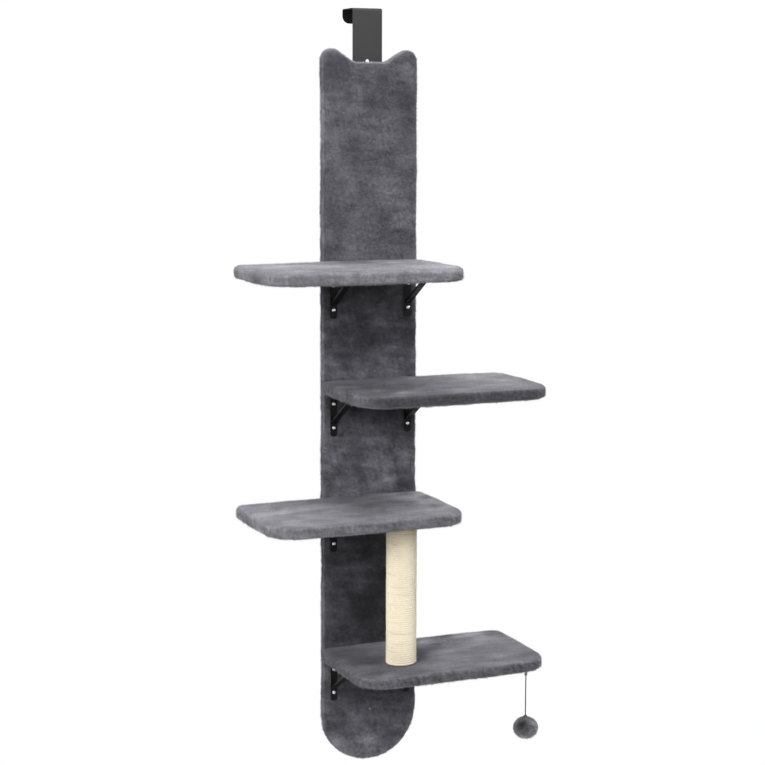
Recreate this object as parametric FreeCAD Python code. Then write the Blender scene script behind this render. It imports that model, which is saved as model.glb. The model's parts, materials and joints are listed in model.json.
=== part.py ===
import FreeCAD, Part
import math
import os

from FreeCAD import Placement, Rotation, Vector

# Over-door cat climber. Millimetres, +Z up, +X to the right, the cat's side faces -Y.
# The origin is the middle of the hook's seat: the centre of the top edge of the door.

os.makedirs("parts", exist_ok=True)

# Door hook: a bent steel strap with a row of holes for setting the height
hook_width = 72.0
hook_steel = 2.5
door_gap = 60.0
hook_flap = 30.0
hook_leg = 345.0
hook_bend = 3.0
hook_end_radius = 17.0
hook_hole = 9.8
hook_hole_drop = 117.0
hook_hole_pitch = 30.0
hook_hole_count = 8
bolted_holes = (2, 4, 6)

# Backboard: three panels of board in plush, with two ears on top and a round foot
board_width = 231.0
board_stock = 15.0
board_bottom = 1763.0
board_dip = 121.0
ear_rise = 29.0
dip_half = 37.0
ear_half = 86.0
dip_radius = 24.0
ear_inner_radius = 18.0
ear_outer_radius = 22.0

# Plush cover: its pile on the outside, and its hem pressed flat on the back
pile = 7.0
pile_round = 6.0
hem = 4.0
hem_width = 25.0
hem_corner = 10.0

# Shelves: heights below the door's top edge, sizes over the plush
first_shelf_drop = 571.0
upper_spacing = 274.0
lower_spacing = 359.0
shelf_length = 464.0
shelf_depth = 277.0
shelf_front_corner = 62.0
shelf_back_corner = 20.0
shelf_top_round = 10.0
shelf_under_pile = 7.0
shelf_under_round = 8.0
shelf_overhang = 12.0

# Shelf brackets: an angle of flat steel with a pressed channel strut
bracket_width = 15.0
bracket_steel = 2.0
bracket_bend = 3.5
bracket_drop = 102.0
bracket_reach = 150.0
bracket_end_radius = 5.0
bracket_spacing = 186.0
strut_drop = 72.0
strut_reach = 118.0
strut_flange = 4.0
strut_steel = 1.5
wall_hole_upper = 26.0
wall_hole_lower = 82.0
shelf_hole_inner = 34.0
shelf_hole_outer = 138.0

# Pan-head wood screws for the brackets, and thin-head ones for the joining plates
screw_head = 8.4
screw_head_height = 2.2
screw_shank = 4.0
screw_grip = 11.0
thin_head = 7.5
thin_head_height = 1.4
thin_grip = 10.0
hole_clearance = 0.15

# Joining plates behind the two seams of the backboard
plate_length = 120.0
plate_width = 18.0
plate_steel = 2.0
plate_spacing = 120.0
plate_hole_near = 20.0
plate_hole_far = 48.0
seam_gap = 0.4

# Bolts of the hook: wide thin heads, screwed into flanged nuts sunk in the board
bolt_shank = 8.0
bolt_head = 17.0
bolt_head_height = 1.4
nut_barrel = 10.6
nut_length = 10.0
nut_flange = 20.0
nut_flange_height = 1.4

# Scratching post between the two lowest shelves
post_diameter = 70.0
post_reach = 185.0
rope_depth = 5.0
rope_turns = 24
rope_gap = 0.8
rope_shoulder = 1.8
rope_bed = 0.3
tube_wall = 4.0
plug_height = 22.0
post_bolt_shank = 6.0
post_bolt_head = 14.0
post_bolt_head_height = 3.0
post_bolt_grip = 16.0

# Hanging toy: a screw eye, a knotted cord and a stuffed ball
toy_inset = 42.0
eye_ring = 9.0
eye_wire = 2.0
eye_neck = 3.0
eye_grip = 10.0
eye_shank = 2.4
cord_diameter = 2.0
loop_ring = 5.0
loop_leg = 3.0
loop_clearance = 0.3
knot_diameter = 7.2
cord_length = 93.0
ball_diameter = 55.0
ball_height = 52.0
ball_neck = 9.0
ball_neck_height = 5.0
ball_button = 6.0

# Screw on the middle of the lower panel
low_screw_rise = 122.0

# Planes across the depth, from the door's middle to the front of the board
strap_back = -door_gap / 2
core_back = strap_back - hook_steel
core_front = core_back - board_stock
plush_front = core_front - pile
hem_back = core_back + hem

# Heights that follow from the sizes above
shelf_thickness = pile + board_stock + shelf_under_pile
shelf_tops = [
    -first_shelf_drop,
    -first_shelf_drop - upper_spacing,
    -first_shelf_drop - 2 * upper_spacing,
    -first_shelf_drop - 2 * upper_spacing - lower_spacing,
]
seams = [shelf_tops[0] - shelf_thickness / 2, shelf_tops[2] - shelf_thickness / 2]
board_half = board_width / 2
post_bottom = shelf_tops[3]
post_top = shelf_tops[2] - shelf_thickness
post_y = plush_front - post_reach


# Helpers

def rounded_outline(corners):
    """Closed wire through (point, radius) corners, each rounded by a tangent arc."""
    count = len(corners)
    starts = []
    ends = []
    middles = []
    for index in range(count):
        point, radius = corners[index]
        before = corners[index - 1][0] - point
        after = corners[(index + 1) % count][0] - point
        before.normalize()
        after.normalize()
        half_angle = before.getAngle(after) / 2
        setback = radius / math.tan(half_angle)
        bisector = before + after
        bisector.normalize()
        starts.append(point + before * setback)
        ends.append(point + after * setback)
        middles.append(point + bisector * (radius / math.sin(half_angle) - radius))
    edges = []
    for index in range(count):
        if corners[index][1] > 0:
            edges.append(Part.Arc(starts[index], middles[index], ends[index]).toShape())
        following = starts[(index + 1) % count]
        if (following - ends[index]).Length > 1e-6:
            edges.append(Part.makeLine(ends[index], following))
    return Part.Wire(edges)


def rod(radius, start, end):
    """Plain cylinder between two points."""
    span = end - start
    return Part.makeCylinder(radius, span.Length, start, span)


def block(x_range, y_range, z_range):
    """Box between pairs of limits."""
    size = [limits[1] - limits[0] for limits in (x_range, y_range, z_range)]
    return Part.makeBox(size[0], size[1], size[2], Vector(x_range[0], y_range[0], z_range[0]))


def round_edges(solid, radius, chosen):
    """Fillet of the edges whose centre the test picks."""
    edges = [edge for edge in solid.Edges if chosen(edge)]
    return solid.makeFillet(radius, edges)


def aimed(shape, point, direction):
    """Copy of a shape made along +Z, moved to a point and turned to a direction."""
    copy = shape.copy()
    copy.Placement = Placement(point, Rotation(Vector(0, 0, 1), direction))
    return copy


def export(name, shapes):
    """Writes one node, from one solid or from a list of separate solids."""
    shape = shapes
    if isinstance(shapes, list):
        shape = Part.makeCompound(shapes)
    valid = "ok" if shape.isValid() else "INVALID"
    print(name, valid, len(shape.Solids), "solids", round(shape.Volume), "mm3")
    shape.exportStep("parts/" + name + ".step")


# Fasteners: each is made along +Z, its head's seat at the origin and its shank above it

def pan_screw(grip):
    """Wood screw with a domed head, its shank as long as what it passes plus its grip."""
    head = screw_head / 2
    dome = Part.makeSphere((head ** 2 + screw_head_height ** 2) / (2 * screw_head_height))
    dome.translate(Vector(0, 0, dome.BoundBox.ZMax - screw_head_height))
    head_disc = Part.makeCylinder(head, screw_head_height, Vector(0, 0, -screw_head_height))
    shank = Part.makeCylinder(screw_shank / 2, grip)
    return head_disc.common(dome).fuse(shank).removeSplitter()


def flat_bolt(head, head_height, shank, grip):
    """Fastener with a wide flat head."""
    disc = Part.makeCylinder(head / 2, head_height, Vector(0, 0, -head_height))
    return disc.fuse(Part.makeCylinder(shank / 2, grip)).removeSplitter()


def drill(shank, grip, point, direction):
    """Hole for a shank, deeper than the shank by its clearance."""
    hole = Part.makeCylinder(shank / 2 + hole_clearance, grip + hole_clearance)
    return aimed(hole, point, direction)


# Door hook

def make_hook():
    """Strap bent over the door: long front leg, flat seat and short rear flap."""
    inside = door_gap / 2
    outside = inside + hook_steel
    bend = hook_bend + hook_steel
    section = [
        (Vector(0, -outside, -hook_leg), 0),
        (Vector(0, -outside, hook_steel), bend),
        (Vector(0, outside, hook_steel), bend),
        (Vector(0, outside, -hook_flap), 0),
        (Vector(0, inside, -hook_flap), 0),
        (Vector(0, inside, 0), hook_bend),
        (Vector(0, -inside, 0), hook_bend),
        (Vector(0, -inside, -hook_leg), 0),
    ]
    strap = Part.Face(rounded_outline(section)).extrude(Vector(hook_width, 0, 0))
    strap.translate(Vector(-hook_width / 2, 0, 0))

    def is_end_corner(edge):
        box = edge.BoundBox
        across = box.YLength > hook_steel / 2 and box.XLength + box.ZLength < hook_steel / 2
        return across and box.ZMax < -hook_bend

    strap = round_edges(strap, hook_end_radius, is_end_corner)
    holes = []
    for height in hook_hole_heights:
        holes.append(rod(hook_hole / 2, Vector(0, -outside - 1, height), Vector(0, -inside + 1, height)))
    return strap.cut(holes)


hook_hole_heights = [-hook_hole_drop - index * hook_hole_pitch for index in range(hook_hole_count)]
toward_board = Vector(0, -1, 0)
bolt_seats = [Vector(0, strap_back, hook_hole_heights[index]) for index in bolted_holes]
bolt_grip = hook_steel + board_stock - nut_flange_height
hook_bolt = flat_bolt(bolt_head, bolt_head_height, bolt_shank, bolt_grip)


def make_nut():
    """Flanged nut in the board's front, its bore open to the bolt."""
    flange = Part.makeCylinder(nut_flange / 2, nut_flange_height)
    barrel = Part.makeCylinder(nut_barrel / 2, nut_length)
    bore = Part.makeCylinder(bolt_shank / 2 + hole_clearance, nut_length)
    return flange.fuse(barrel).removeSplitter().cut(bore)


def nut_pocket(seat):
    """Room in the board for a nut and for the bolt that reaches it."""
    face = Vector(seat.x, core_front, seat.z)
    flange = rod(nut_flange / 2, face, face - toward_board * nut_flange_height)
    barrel = rod(nut_barrel / 2, face, face - toward_board * nut_length)
    bolt_hole = drill(bolt_shank, board_stock, Vector(seat.x, core_back, seat.z), toward_board)
    return flange.fuse([barrel, bolt_hole])


# Backboard

def board_outline():
    """Front outline over the plush: dip for the hook, two ears and a half-round foot."""
    top = ear_rise - board_dip
    corners = [
        (Vector(-dip_half, 0, -board_dip), dip_radius),
        (Vector(dip_half, 0, -board_dip), dip_radius),
        (Vector(ear_half, 0, top), ear_inner_radius),
        (Vector(board_half, 0, top), ear_outer_radius),
        (Vector(board_half, 0, -board_bottom), board_half),
        (Vector(-board_half, 0, -board_bottom), board_half),
        (Vector(-board_half, 0, top), ear_outer_radius),
        (Vector(-ear_half, 0, top), ear_inner_radius),
    ]
    return rounded_outline(corners)


def slab(wire, front, back):
    """Plate with an upright outline, between two planes across the depth."""
    solid = Part.Face(wire).extrude(Vector(0, back - front, 0))
    solid.translate(Vector(0, front, 0))
    return solid


def make_board_core():
    """Whole board before it is cut into panels."""
    return slab(board_outline().makeOffset2D(-pile), core_front, core_back)


def make_board_cover():
    """Whole plush cover: front, edges and a stapled hem round the bare back."""
    cover = slab(board_outline(), plush_front, hem_back)
    cover = round_edges(cover, pile_round, lambda edge: edge.BoundBox.YMax < plush_front + pile_round / 2)
    window_half = board_half - pile - hem_width
    window_top = -board_dip - pile - hem_width
    window = rounded_outline([
        (Vector(-window_half, 0, window_top), hem_corner),
        (Vector(window_half, 0, window_top), hem_corner),
        (Vector(window_half, 0, -board_bottom + pile + hem_width), window_half),
        (Vector(-window_half, 0, -board_bottom + pile + hem_width), window_half),
    ])
    strap_half = hook_width / 2 + hole_clearance
    strap_notch = block((-strap_half, strap_half), (core_back, hem_back + hem), (window_top - hem, 0))
    return cover.cut([make_board_core(), slab(window, core_back, hem_back + hem), strap_notch])


def panel_part(whole, index):
    """One of the three panels: the stretch of a whole-board solid between its seams."""
    tops = [0] + [seam - seam_gap / 2 for seam in seams]
    bottoms = [seam + seam_gap / 2 for seam in seams] + [-board_bottom - pile]
    stretch = (bottoms[index], tops[index])
    return whole.common(block((-board_width, board_width), (plush_front - pile, hem_back + pile), stretch))


plate_seats = []
for seam in seams:
    for side in (-1, 1):
        plate_seats.append(Vector(side * plate_spacing / 2, core_back, seam))
plate_screw_heights = [-plate_hole_far, -plate_hole_near, plate_hole_near, plate_hole_far]
thin_seat = core_back + plate_steel
thin_screw_grip = plate_steel + thin_grip
thin_screw = flat_bolt(thin_head, thin_head_height, screw_shank, thin_screw_grip)
thin_seats = []
for seat in plate_seats:
    for height in plate_screw_heights:
        thin_seats.append(Vector(seat.x, thin_seat, seat.z + height))


def make_plate(seat):
    """Flat steel plate across a seam, with round ends."""
    half = plate_width / 2
    reach = plate_length / 2
    outline = rounded_outline([
        (Vector(seat.x - half, 0, seat.z + reach), half),
        (Vector(seat.x + half, 0, seat.z + reach), half),
        (Vector(seat.x + half, 0, seat.z - reach), half),
        (Vector(seat.x - half, 0, seat.z - reach), half),
    ])
    plate = slab(outline, core_back, thin_seat)
    return plate.cut([drill(screw_shank, thin_screw_grip, seat, toward_board) for seat in thin_seats])


# Shelves: the first and third reach to the left, the others to the right

def shelf_span(index):
    """Left and right ends of a shelf over its plush."""
    if index % 2 == 0:
        right = board_half + shelf_overhang
        return right - shelf_length, right
    left = -board_half - shelf_overhang
    return left, left + shelf_length


def shelf_plate(index, inset, top, bottom):
    """Plate with the shelf's outline, rounder in front than at the board, drawn in by an inset."""
    left, right = shelf_span(index)
    front_radius = shelf_front_corner - inset
    back_radius = shelf_back_corner - inset
    front = plush_front - shelf_depth + inset
    back = plush_front - inset
    outline = rounded_outline([
        (Vector(left + inset, front, top), front_radius),
        (Vector(right - inset, front, top), front_radius),
        (Vector(right - inset, back, top), back_radius),
        (Vector(left + inset, back, top), back_radius),
    ])
    return Part.Face(outline).extrude(Vector(0, 0, bottom - top))


def make_shelf_core(index):
    """Board inside a shelf."""
    top = shelf_tops[index] - pile
    return shelf_plate(index, pile, top, top - board_stock)


def make_shelf_cover(index):
    """Plush sleeve all round a shelf, with soft edges."""
    top = shelf_tops[index]
    bottom = top - shelf_thickness
    cover = shelf_plate(index, 0, top, bottom)
    cover = round_edges(cover, shelf_top_round, lambda edge: edge.BoundBox.ZMin > top - 1)
    cover = round_edges(cover, shelf_under_round, lambda edge: edge.BoundBox.ZMax < bottom + 1)
    return cover.cut(make_shelf_core(index))


# Brackets

def make_bracket():
    """One bracket at the origin: wall leg down, shelf leg forward, strut across."""
    half = bracket_width / 2
    section = [
        (Vector(0, 0, 0), bracket_bend),
        (Vector(0, 0, -bracket_drop), 0),
        (Vector(0, -bracket_steel, -bracket_drop), 0),
        (Vector(0, -bracket_steel, -bracket_steel), bracket_bend - bracket_steel),
        (Vector(0, -bracket_reach, -bracket_steel), 0),
        (Vector(0, -bracket_reach, 0), 0),
    ]
    angle = Part.Face(rounded_outline(section)).extrude(Vector(bracket_width, 0, 0))
    angle.translate(Vector(-half, 0, 0))

    def is_end_corner(edge):
        box = edge.BoundBox
        low = box.ZMax < -bracket_drop + bracket_steel / 2 and box.XLength < half
        far = box.YMax < -bracket_reach + bracket_steel / 2 and box.XLength < half
        return low or far

    angle = round_edges(angle, bracket_end_radius, is_end_corner)
    foot = Vector(0, -bracket_steel, -strut_drop)
    head = Vector(0, -strut_reach, -bracket_steel)
    run = head - foot
    along = Vector(run).normalize()
    inward = Vector(0, along.z, -along.y) * -1
    across = Vector(1, 0, 0)
    spare = along * bracket_drop
    wall = strut_steel
    channel = [(-half, 0), (half, 0), (half, strut_flange), (half - wall, strut_flange), (half - wall, wall),
               (-half + wall, wall), (-half + wall, strut_flange), (-half, strut_flange)]
    start = foot - spare
    points = [start + across * side + inward * -depth for side, depth in channel]
    strut = Part.Face(Part.makePolygon(points + points[:1])).extrude(run + spare * 2)
    room = block((-bracket_width, bracket_width), (-bracket_reach, -bracket_steel), (-bracket_drop, -bracket_steel))
    bracket = angle.fuse(strut.common(room)).removeSplitter()
    holes = [drill(screw_shank, bracket_steel * 2, Vector(0, -bracket_steel * 2, -drop), Vector(0, 1, 0))
             for drop in (wall_hole_upper, wall_hole_lower)]
    holes += [drill(screw_shank, bracket_steel * 2, Vector(0, -reach, -bracket_steel * 2), Vector(0, 0, 1))
              for reach in (shelf_hole_inner, shelf_hole_outer)]
    return bracket.cut(holes)


bracket_places = []
for index in range(len(shelf_tops)):
    for side in (-1, 1):
        corner = Vector(side * bracket_spacing / 2, plush_front, shelf_tops[index] - shelf_thickness)
        bracket_places.append((index, side, corner))

wall_grip = bracket_steel + pile + screw_grip
shelf_grip = bracket_steel + shelf_under_pile + screw_grip
into_board = Vector(0, 1, 0)
upward = Vector(0, 0, 1)
downward = Vector(0, 0, -1)
wall_seats = []
shelf_seats = []
for index, side, corner in bracket_places:
    for drop in (wall_hole_upper, wall_hole_lower):
        wall_seats.append(corner + Vector(0, -bracket_steel, -drop))
    for reach in (shelf_hole_inner, shelf_hole_outer):
        shelf_seats.append(corner + Vector(0, -reach, -bracket_steel))

low_screw_grip = pile + screw_grip
low_screw_seat = Vector(0, plush_front, -board_bottom + low_screw_rise)


# Scratching post

def arc_middle(start, tangent, end):
    """Middle of the arc that leaves one point along a tangent and ends at another."""
    chord = end - start
    side = tangent - chord * (tangent.dot(chord) / chord.dot(chord))
    side.normalize()
    rise = chord.Length / 2 * math.tan(tangent.getAngle(chord) / 2)
    return (start + end) * 0.5 + side * rise


def biarc(start, start_tangent, end, end_tangent):
    """Two tangent arcs between two points with given directions."""
    chord = end - start
    both = start_tangent + end_tangent
    square = 2 * (start_tangent.dot(end_tangent) - 1)
    linear = -2 * chord.dot(both)
    constant = chord.dot(chord)
    reach = (-linear - math.sqrt(linear ** 2 - 4 * square * constant)) / (2 * square)
    first_control = start + start_tangent * reach
    second_control = end - end_tangent * reach
    joint = (first_control + second_control) * 0.5
    joint_tangent = (second_control - first_control).normalize()
    first = Part.Arc(start, arc_middle(start, start_tangent, joint), joint)
    second = Part.Arc(joint, arc_middle(joint, joint_tangent, end), end)
    return [first.toShape(), second.toShape()]


rope_inner = post_diameter / 2 - rope_depth + rope_bed
rope_pitch = (post_top - post_bottom - rope_gap) / (rope_turns + 1)
rope_height = rope_pitch - rope_gap


def rope_point(angle):
    """Point on the middle of the rope's inner face, and its direction there."""
    rise = rope_pitch / (2 * math.pi)
    height = post_bottom + rope_gap + rope_height / 2 + rise * angle
    point = Vector(rope_inner * math.cos(angle), post_y + rope_inner * math.sin(angle), height)
    tangent = Vector(-rope_inner * math.sin(angle), rope_inner * math.cos(angle), rise)
    return point, tangent.normalize()


def rope_least_gap():
    """Least distance between one turn's upper edge and the next turn's lower edge, on points."""
    half_edge = Vector(0, 0, rope_height / 2)
    angles = [turn * math.pi / 8 for turn in range(16 * (rope_turns - 1))]
    gaps = []
    for angle in angles:
        upper_edge = rope_point(angle)[0] + half_edge
        nearby = [rope_point(angle + 2 * math.pi + shift * math.pi / 64)[0] for shift in range(-4, 5)]
        gaps += [(point - half_edge - upper_edge).Length for point in nearby]
    return min(gaps)


def make_rope():
    """One unbroken flattened tube wound round the post, straight for its depth at both ends."""
    half_turn = math.pi
    stops = [rope_point(half_turn * count) for count in range(2 * rope_turns + 1)]
    first_point, first_tangent = stops[0]
    last_point, last_tangent = stops[-1]
    edges = [Part.makeLine(first_point - first_tangent * rope_depth, first_point)]
    for here, there in zip(stops, stops[1:]):
        edges += biarc(here[0], here[1], there[0], there[1])
    edges.append(Part.makeLine(last_point, last_point + last_tangent * rope_depth))
    crest = rope_depth - rope_bed
    shoulder = crest - rope_shoulder
    half = rope_height / 2
    profile = [(0, -half), (shoulder, -half), (crest, 0), (shoulder, half), (0, half)]
    corner = first_point - first_tangent * rope_depth
    points = [corner + Vector(depth, 0, height) for depth, height in profile]
    sweep = Part.BRepOffsetAPI.MakePipeShell(Part.Wire(edges))
    sweep.setBiNormalMode(upward)
    sweep.add(Part.makePolygon(points + points[:1]), False, False)
    sweep.build()
    sweep.makeSolid()
    return sweep.shape()


def make_post():
    """Cardboard tube, its two wooden end plugs and the two bolts that hold the post."""
    axis = Vector(0, post_y, 0)
    outer = post_diameter / 2 - rope_depth
    inner = outer - tube_wall
    tube = rod(outer, axis + upward * post_bottom, axis + upward * post_top)
    tube = tube.cut(rod(inner, axis + upward * post_bottom, axis + upward * post_top))
    lower_plug = rod(inner, axis + upward * post_bottom, axis + upward * (post_bottom + plug_height))
    upper_plug = rod(inner, axis + upward * (post_top - plug_height), axis + upward * post_top)
    return tube, lower_plug.cut(post_holes), upper_plug.cut(post_holes)


lower_bolt_seat = Vector(0, post_y, shelf_tops[3] - shelf_thickness)
lower_bolt_grip = shelf_thickness + post_bolt_grip
upper_bolt_seat = Vector(0, post_y, shelf_tops[2] - pile)
upper_bolt_grip = board_stock + shelf_under_pile + post_bolt_grip
post_holes = [
    drill(post_bolt_shank, lower_bolt_grip, lower_bolt_seat, upward),
    drill(post_bolt_shank, upper_bolt_grip, upper_bolt_seat, downward),
    rod(post_bolt_head / 2 + hole_clearance, upper_bolt_seat, upper_bolt_seat + upward * post_bolt_head_height),
]


# Hanging toy under the front corner of the lowest shelf

toy_under = shelf_tops[3] - shelf_thickness
toy_x = shelf_span(3)[1] - toy_inset
toy_y = plush_front - shelf_depth + toy_inset
eye_radius = eye_ring / 2
eye_centre = Vector(toy_x, toy_y, toy_under - eye_neck - eye_radius)
loop_radius = loop_ring / 2
loop_top = eye_centre.z - eye_radius + (eye_wire + cord_diameter) / 2 + loop_clearance
loop_centre = Vector(toy_x, toy_y, loop_top - loop_radius)
knot_radius = knot_diameter / 2
knot_centre = loop_centre - upward * (loop_leg + knot_radius - cord_diameter / 2)
cord_top = knot_centre - upward * (knot_radius + loop_clearance)
cord_bottom = cord_top - upward * cord_length
eye_seat = Vector(toy_x, toy_y, toy_under)
eye_reach = shelf_under_pile + eye_grip


def make_eye():
    """Screw eye: a wire ring across the shelf and a shank up into the board."""
    ring = Part.makeTorus(eye_radius, eye_wire / 2, eye_centre, Vector(0, 1, 0))
    shank = rod(eye_shank / 2, eye_centre + upward * eye_radius, eye_seat + upward * eye_reach)
    return ring.fuse(shank)


def make_loop():
    """Cord loop through the eye: an arch on two legs that end in a knot."""
    side = Vector(0, loop_radius, 0)
    left = knot_centre - side
    right = knot_centre + side
    edges = [
        Part.makeLine(left, loop_centre - side),
        Part.Arc(loop_centre - side, loop_centre + upward * loop_radius, loop_centre + side).toShape(),
        Part.makeLine(loop_centre + side, right),
    ]
    section = Part.Wire([Part.Circle(left, upward, cord_diameter / 2).toShape()])
    arch = Part.Wire(edges).makePipeShell([section], True, False)
    return arch.fuse(Part.makeSphere(knot_radius, knot_centre, Vector(1, 0, 0)))


def make_ball():
    """Stuffed ball, flattened a little, gathered to a neck above and a button below."""
    neck = ball_neck / 2
    button = ball_button / 2
    radius = ball_diameter / 2
    rise = ball_height / 2
    middle = -ball_neck_height - rise
    turn = math.pi / 4
    crown = Vector(neck, 0, middle + rise)
    belly = Vector(radius, 0, middle)
    under = Vector(button, 0, middle - rise)
    upper_bulge = Vector(neck + (radius - neck) * math.sin(turn), 0, middle + rise * math.cos(turn))
    lower_bulge = Vector(button + (radius - button) * math.sin(turn), 0, middle - rise * math.cos(turn))
    edges = [
        Part.makeLine(Vector(0, 0, 0), Vector(neck, 0, 0)),
        Part.makeLine(Vector(neck, 0, 0), crown),
        Part.Arc(crown, upper_bulge, belly).toShape(),
        Part.Arc(belly, lower_bulge, under).toShape(),
        Part.makeLine(under, Vector(0, 0, under.z)),
        Part.makeLine(Vector(0, 0, under.z), Vector(0, 0, 0)),
    ]
    ball = Part.Face(Part.Wire(edges)).revolve(Vector(0, 0, 0), upward, 360)
    ball.translate(cord_bottom)
    return ball


# Holes that the fasteners need
wall_drills = [drill(screw_shank, wall_grip, seat, into_board) for seat in wall_seats]
wall_drills.append(drill(screw_shank, low_screw_grip, low_screw_seat, into_board))
thin_drills = [drill(screw_shank, thin_screw_grip, seat, toward_board) for seat in thin_seats]
shelf_drills = [drill(screw_shank, shelf_grip, seat, upward) for seat in shelf_seats]
eye_drill = drill(eye_shank, eye_reach, eye_seat, upward)

# Hook and its fasteners
export("door_hook", make_hook())
export("hook_bolts", [aimed(hook_bolt, seat, toward_board) for seat in bolt_seats])
flanged_nut = make_nut()
nut_seats = [Vector(seat.x, core_front, seat.z) for seat in bolt_seats]
export("hook_nuts", [aimed(flanged_nut, seat, into_board) for seat in nut_seats])

# Backboard panels
panel_names = ["upper", "middle", "lower"]
board_core = make_board_core().cut(wall_drills + thin_drills + [nut_pocket(seat) for seat in bolt_seats])
board_cover = make_board_cover().cut(wall_drills)
for index, name in enumerate(panel_names):
    export(name + "_panel_core", panel_part(board_core, index))
    export(name + "_panel_cover", panel_part(board_cover, index))
export("joining_plates", [make_plate(seat) for seat in plate_seats])
export("joining_screws", [aimed(thin_screw, seat, toward_board) for seat in thin_seats])

# Shelves and brackets
for index in range(len(shelf_tops)):
    number = str(index + 1)
    holes = shelf_drills + post_holes + [eye_drill]
    export("shelf_" + number + "_core", make_shelf_core(index).cut(holes))
    export("shelf_" + number + "_cover", make_shelf_cover(index).cut(holes))
bracket = make_bracket()
for index, side, corner in bracket_places:
    placed = bracket.copy()
    placed.translate(corner)
    export("bracket_" + str(index + 1) + ("_left" if side < 0 else "_right"), placed)
wall_screw = pan_screw(wall_grip)
shelf_screw = pan_screw(shelf_grip)
export("bracket_wall_screws", [aimed(wall_screw, seat, into_board) for seat in wall_seats])
export("bracket_shelf_screws", [aimed(shelf_screw, seat, upward) for seat in shelf_seats])
export("lower_panel_screw", aimed(pan_screw(low_screw_grip), low_screw_seat, into_board))

# Scratching post
post_tube, post_lower_plug, post_upper_plug = make_post()
export("post_tube", post_tube)
export("post_lower_plug", post_lower_plug)
export("post_upper_plug", post_upper_plug)
lower_bolt = flat_bolt(post_bolt_head, post_bolt_head_height, post_bolt_shank, lower_bolt_grip)
upper_bolt = flat_bolt(post_bolt_head, post_bolt_head_height, post_bolt_shank, upper_bolt_grip)
export("post_lower_bolt", aimed(lower_bolt, lower_bolt_seat, upward))
export("post_upper_bolt", aimed(upper_bolt, upper_bolt_seat, downward))
export("post_rope", make_rope())
print("least gap between turns of the rope, mm:", round(rope_least_gap(), 2))

# Toy
export("toy_screw_eye", make_eye())
export("toy_cord_loop", make_loop())
export("toy_cord", rod(cord_diameter / 2, cord_top, cord_bottom))
export("toy_ball", make_ball())
print("cord of the toy: straight under its ball's weight,", cord_length, "mm")
print("ring of the eye at", eye_centre, "knot at", knot_centre, "ball from", cord_bottom)
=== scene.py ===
"""Looks of an over-door cat climber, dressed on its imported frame."""

import json
import logging
import math
from dataclasses import dataclass, field
from enum import Enum
from typing import Callable, Optional, Sequence

import bmesh
import bpy
import numpy as np
from mathutils import Matrix, Vector

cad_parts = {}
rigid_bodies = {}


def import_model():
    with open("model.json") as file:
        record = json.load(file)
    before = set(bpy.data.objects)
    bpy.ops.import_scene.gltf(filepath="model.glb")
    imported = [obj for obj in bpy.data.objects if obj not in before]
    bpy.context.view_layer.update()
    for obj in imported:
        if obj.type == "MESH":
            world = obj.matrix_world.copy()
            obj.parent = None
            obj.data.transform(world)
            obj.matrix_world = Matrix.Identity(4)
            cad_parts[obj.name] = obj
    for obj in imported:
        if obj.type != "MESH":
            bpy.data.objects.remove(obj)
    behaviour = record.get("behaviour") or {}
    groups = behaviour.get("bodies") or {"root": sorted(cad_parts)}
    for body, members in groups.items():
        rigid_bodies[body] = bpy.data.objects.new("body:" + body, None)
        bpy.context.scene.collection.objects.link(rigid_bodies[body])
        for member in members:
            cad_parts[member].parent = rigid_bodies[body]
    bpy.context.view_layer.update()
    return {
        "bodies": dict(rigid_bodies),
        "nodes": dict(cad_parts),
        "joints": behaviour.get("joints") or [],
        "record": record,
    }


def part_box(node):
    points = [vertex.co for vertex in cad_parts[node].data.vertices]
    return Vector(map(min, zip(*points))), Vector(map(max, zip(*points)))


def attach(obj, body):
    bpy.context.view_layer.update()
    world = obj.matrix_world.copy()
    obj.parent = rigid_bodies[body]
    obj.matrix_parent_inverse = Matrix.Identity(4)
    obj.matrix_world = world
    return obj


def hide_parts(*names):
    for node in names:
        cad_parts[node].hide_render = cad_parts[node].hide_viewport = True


LOG = logging.getLogger("climber")
MM = 0.001
PHOTO_SIDE = 765
SHELVES = (1, 2, 3, 4)
SIDES = ("left", "right")
PANELS = ("upper_panel", "middle_panel", "lower_panel")
BRACKETS = tuple(f"bracket_{shelf}_{side}" for shelf in SHELVES for side in SIDES)

Triple = tuple[float, float, float]
Patch = tuple[float, float, float, float, float]
Rows = np.ndarray
Socket = bpy.types.NodeSocket
Pattern = Callable[..., dict[str, Socket]]
Tree = bpy.types.NodeTree
Mesh = bpy.types.Mesh
Piece = bpy.types.Object
Shape = bmesh.types.BMesh


class Body(Enum):
    """Bodies of the frame that pieces ride on."""

    CLIMBER = "climber"
    TOY = "toy"


class Slot(Enum):
    """Material slots of the record, which the pieces name."""

    ZINC = "zinc_steel"
    PLUSH = "grey_plush"
    ROPE = "sisal_rope"
    CORD = "toy_cord"
    BALL = "ball_plush"


def linear(red: int, green: int, blue: int) -> Triple:
    """Scene-linear colour of a display colour with parts from 0 to 255."""
    shares = (red / 255, green / 255, blue / 255)
    return tuple(part / 12.92 if part <= 0.04045 else ((part + 0.055) / 1.055) ** 2.4 for part in shares)


def unit(rows: Rows) -> Rows:
    """Rows brought to a length of one."""
    return rows / np.maximum(np.linalg.norm(rows, axis=1), 1e-6)[:, None]


def ramp(values: Rows, start: float, span: float) -> Rows:
    """Share that rises from 0 at a start to 1 after a span."""
    return np.clip((values - start) / span, 0, 1)


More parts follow.
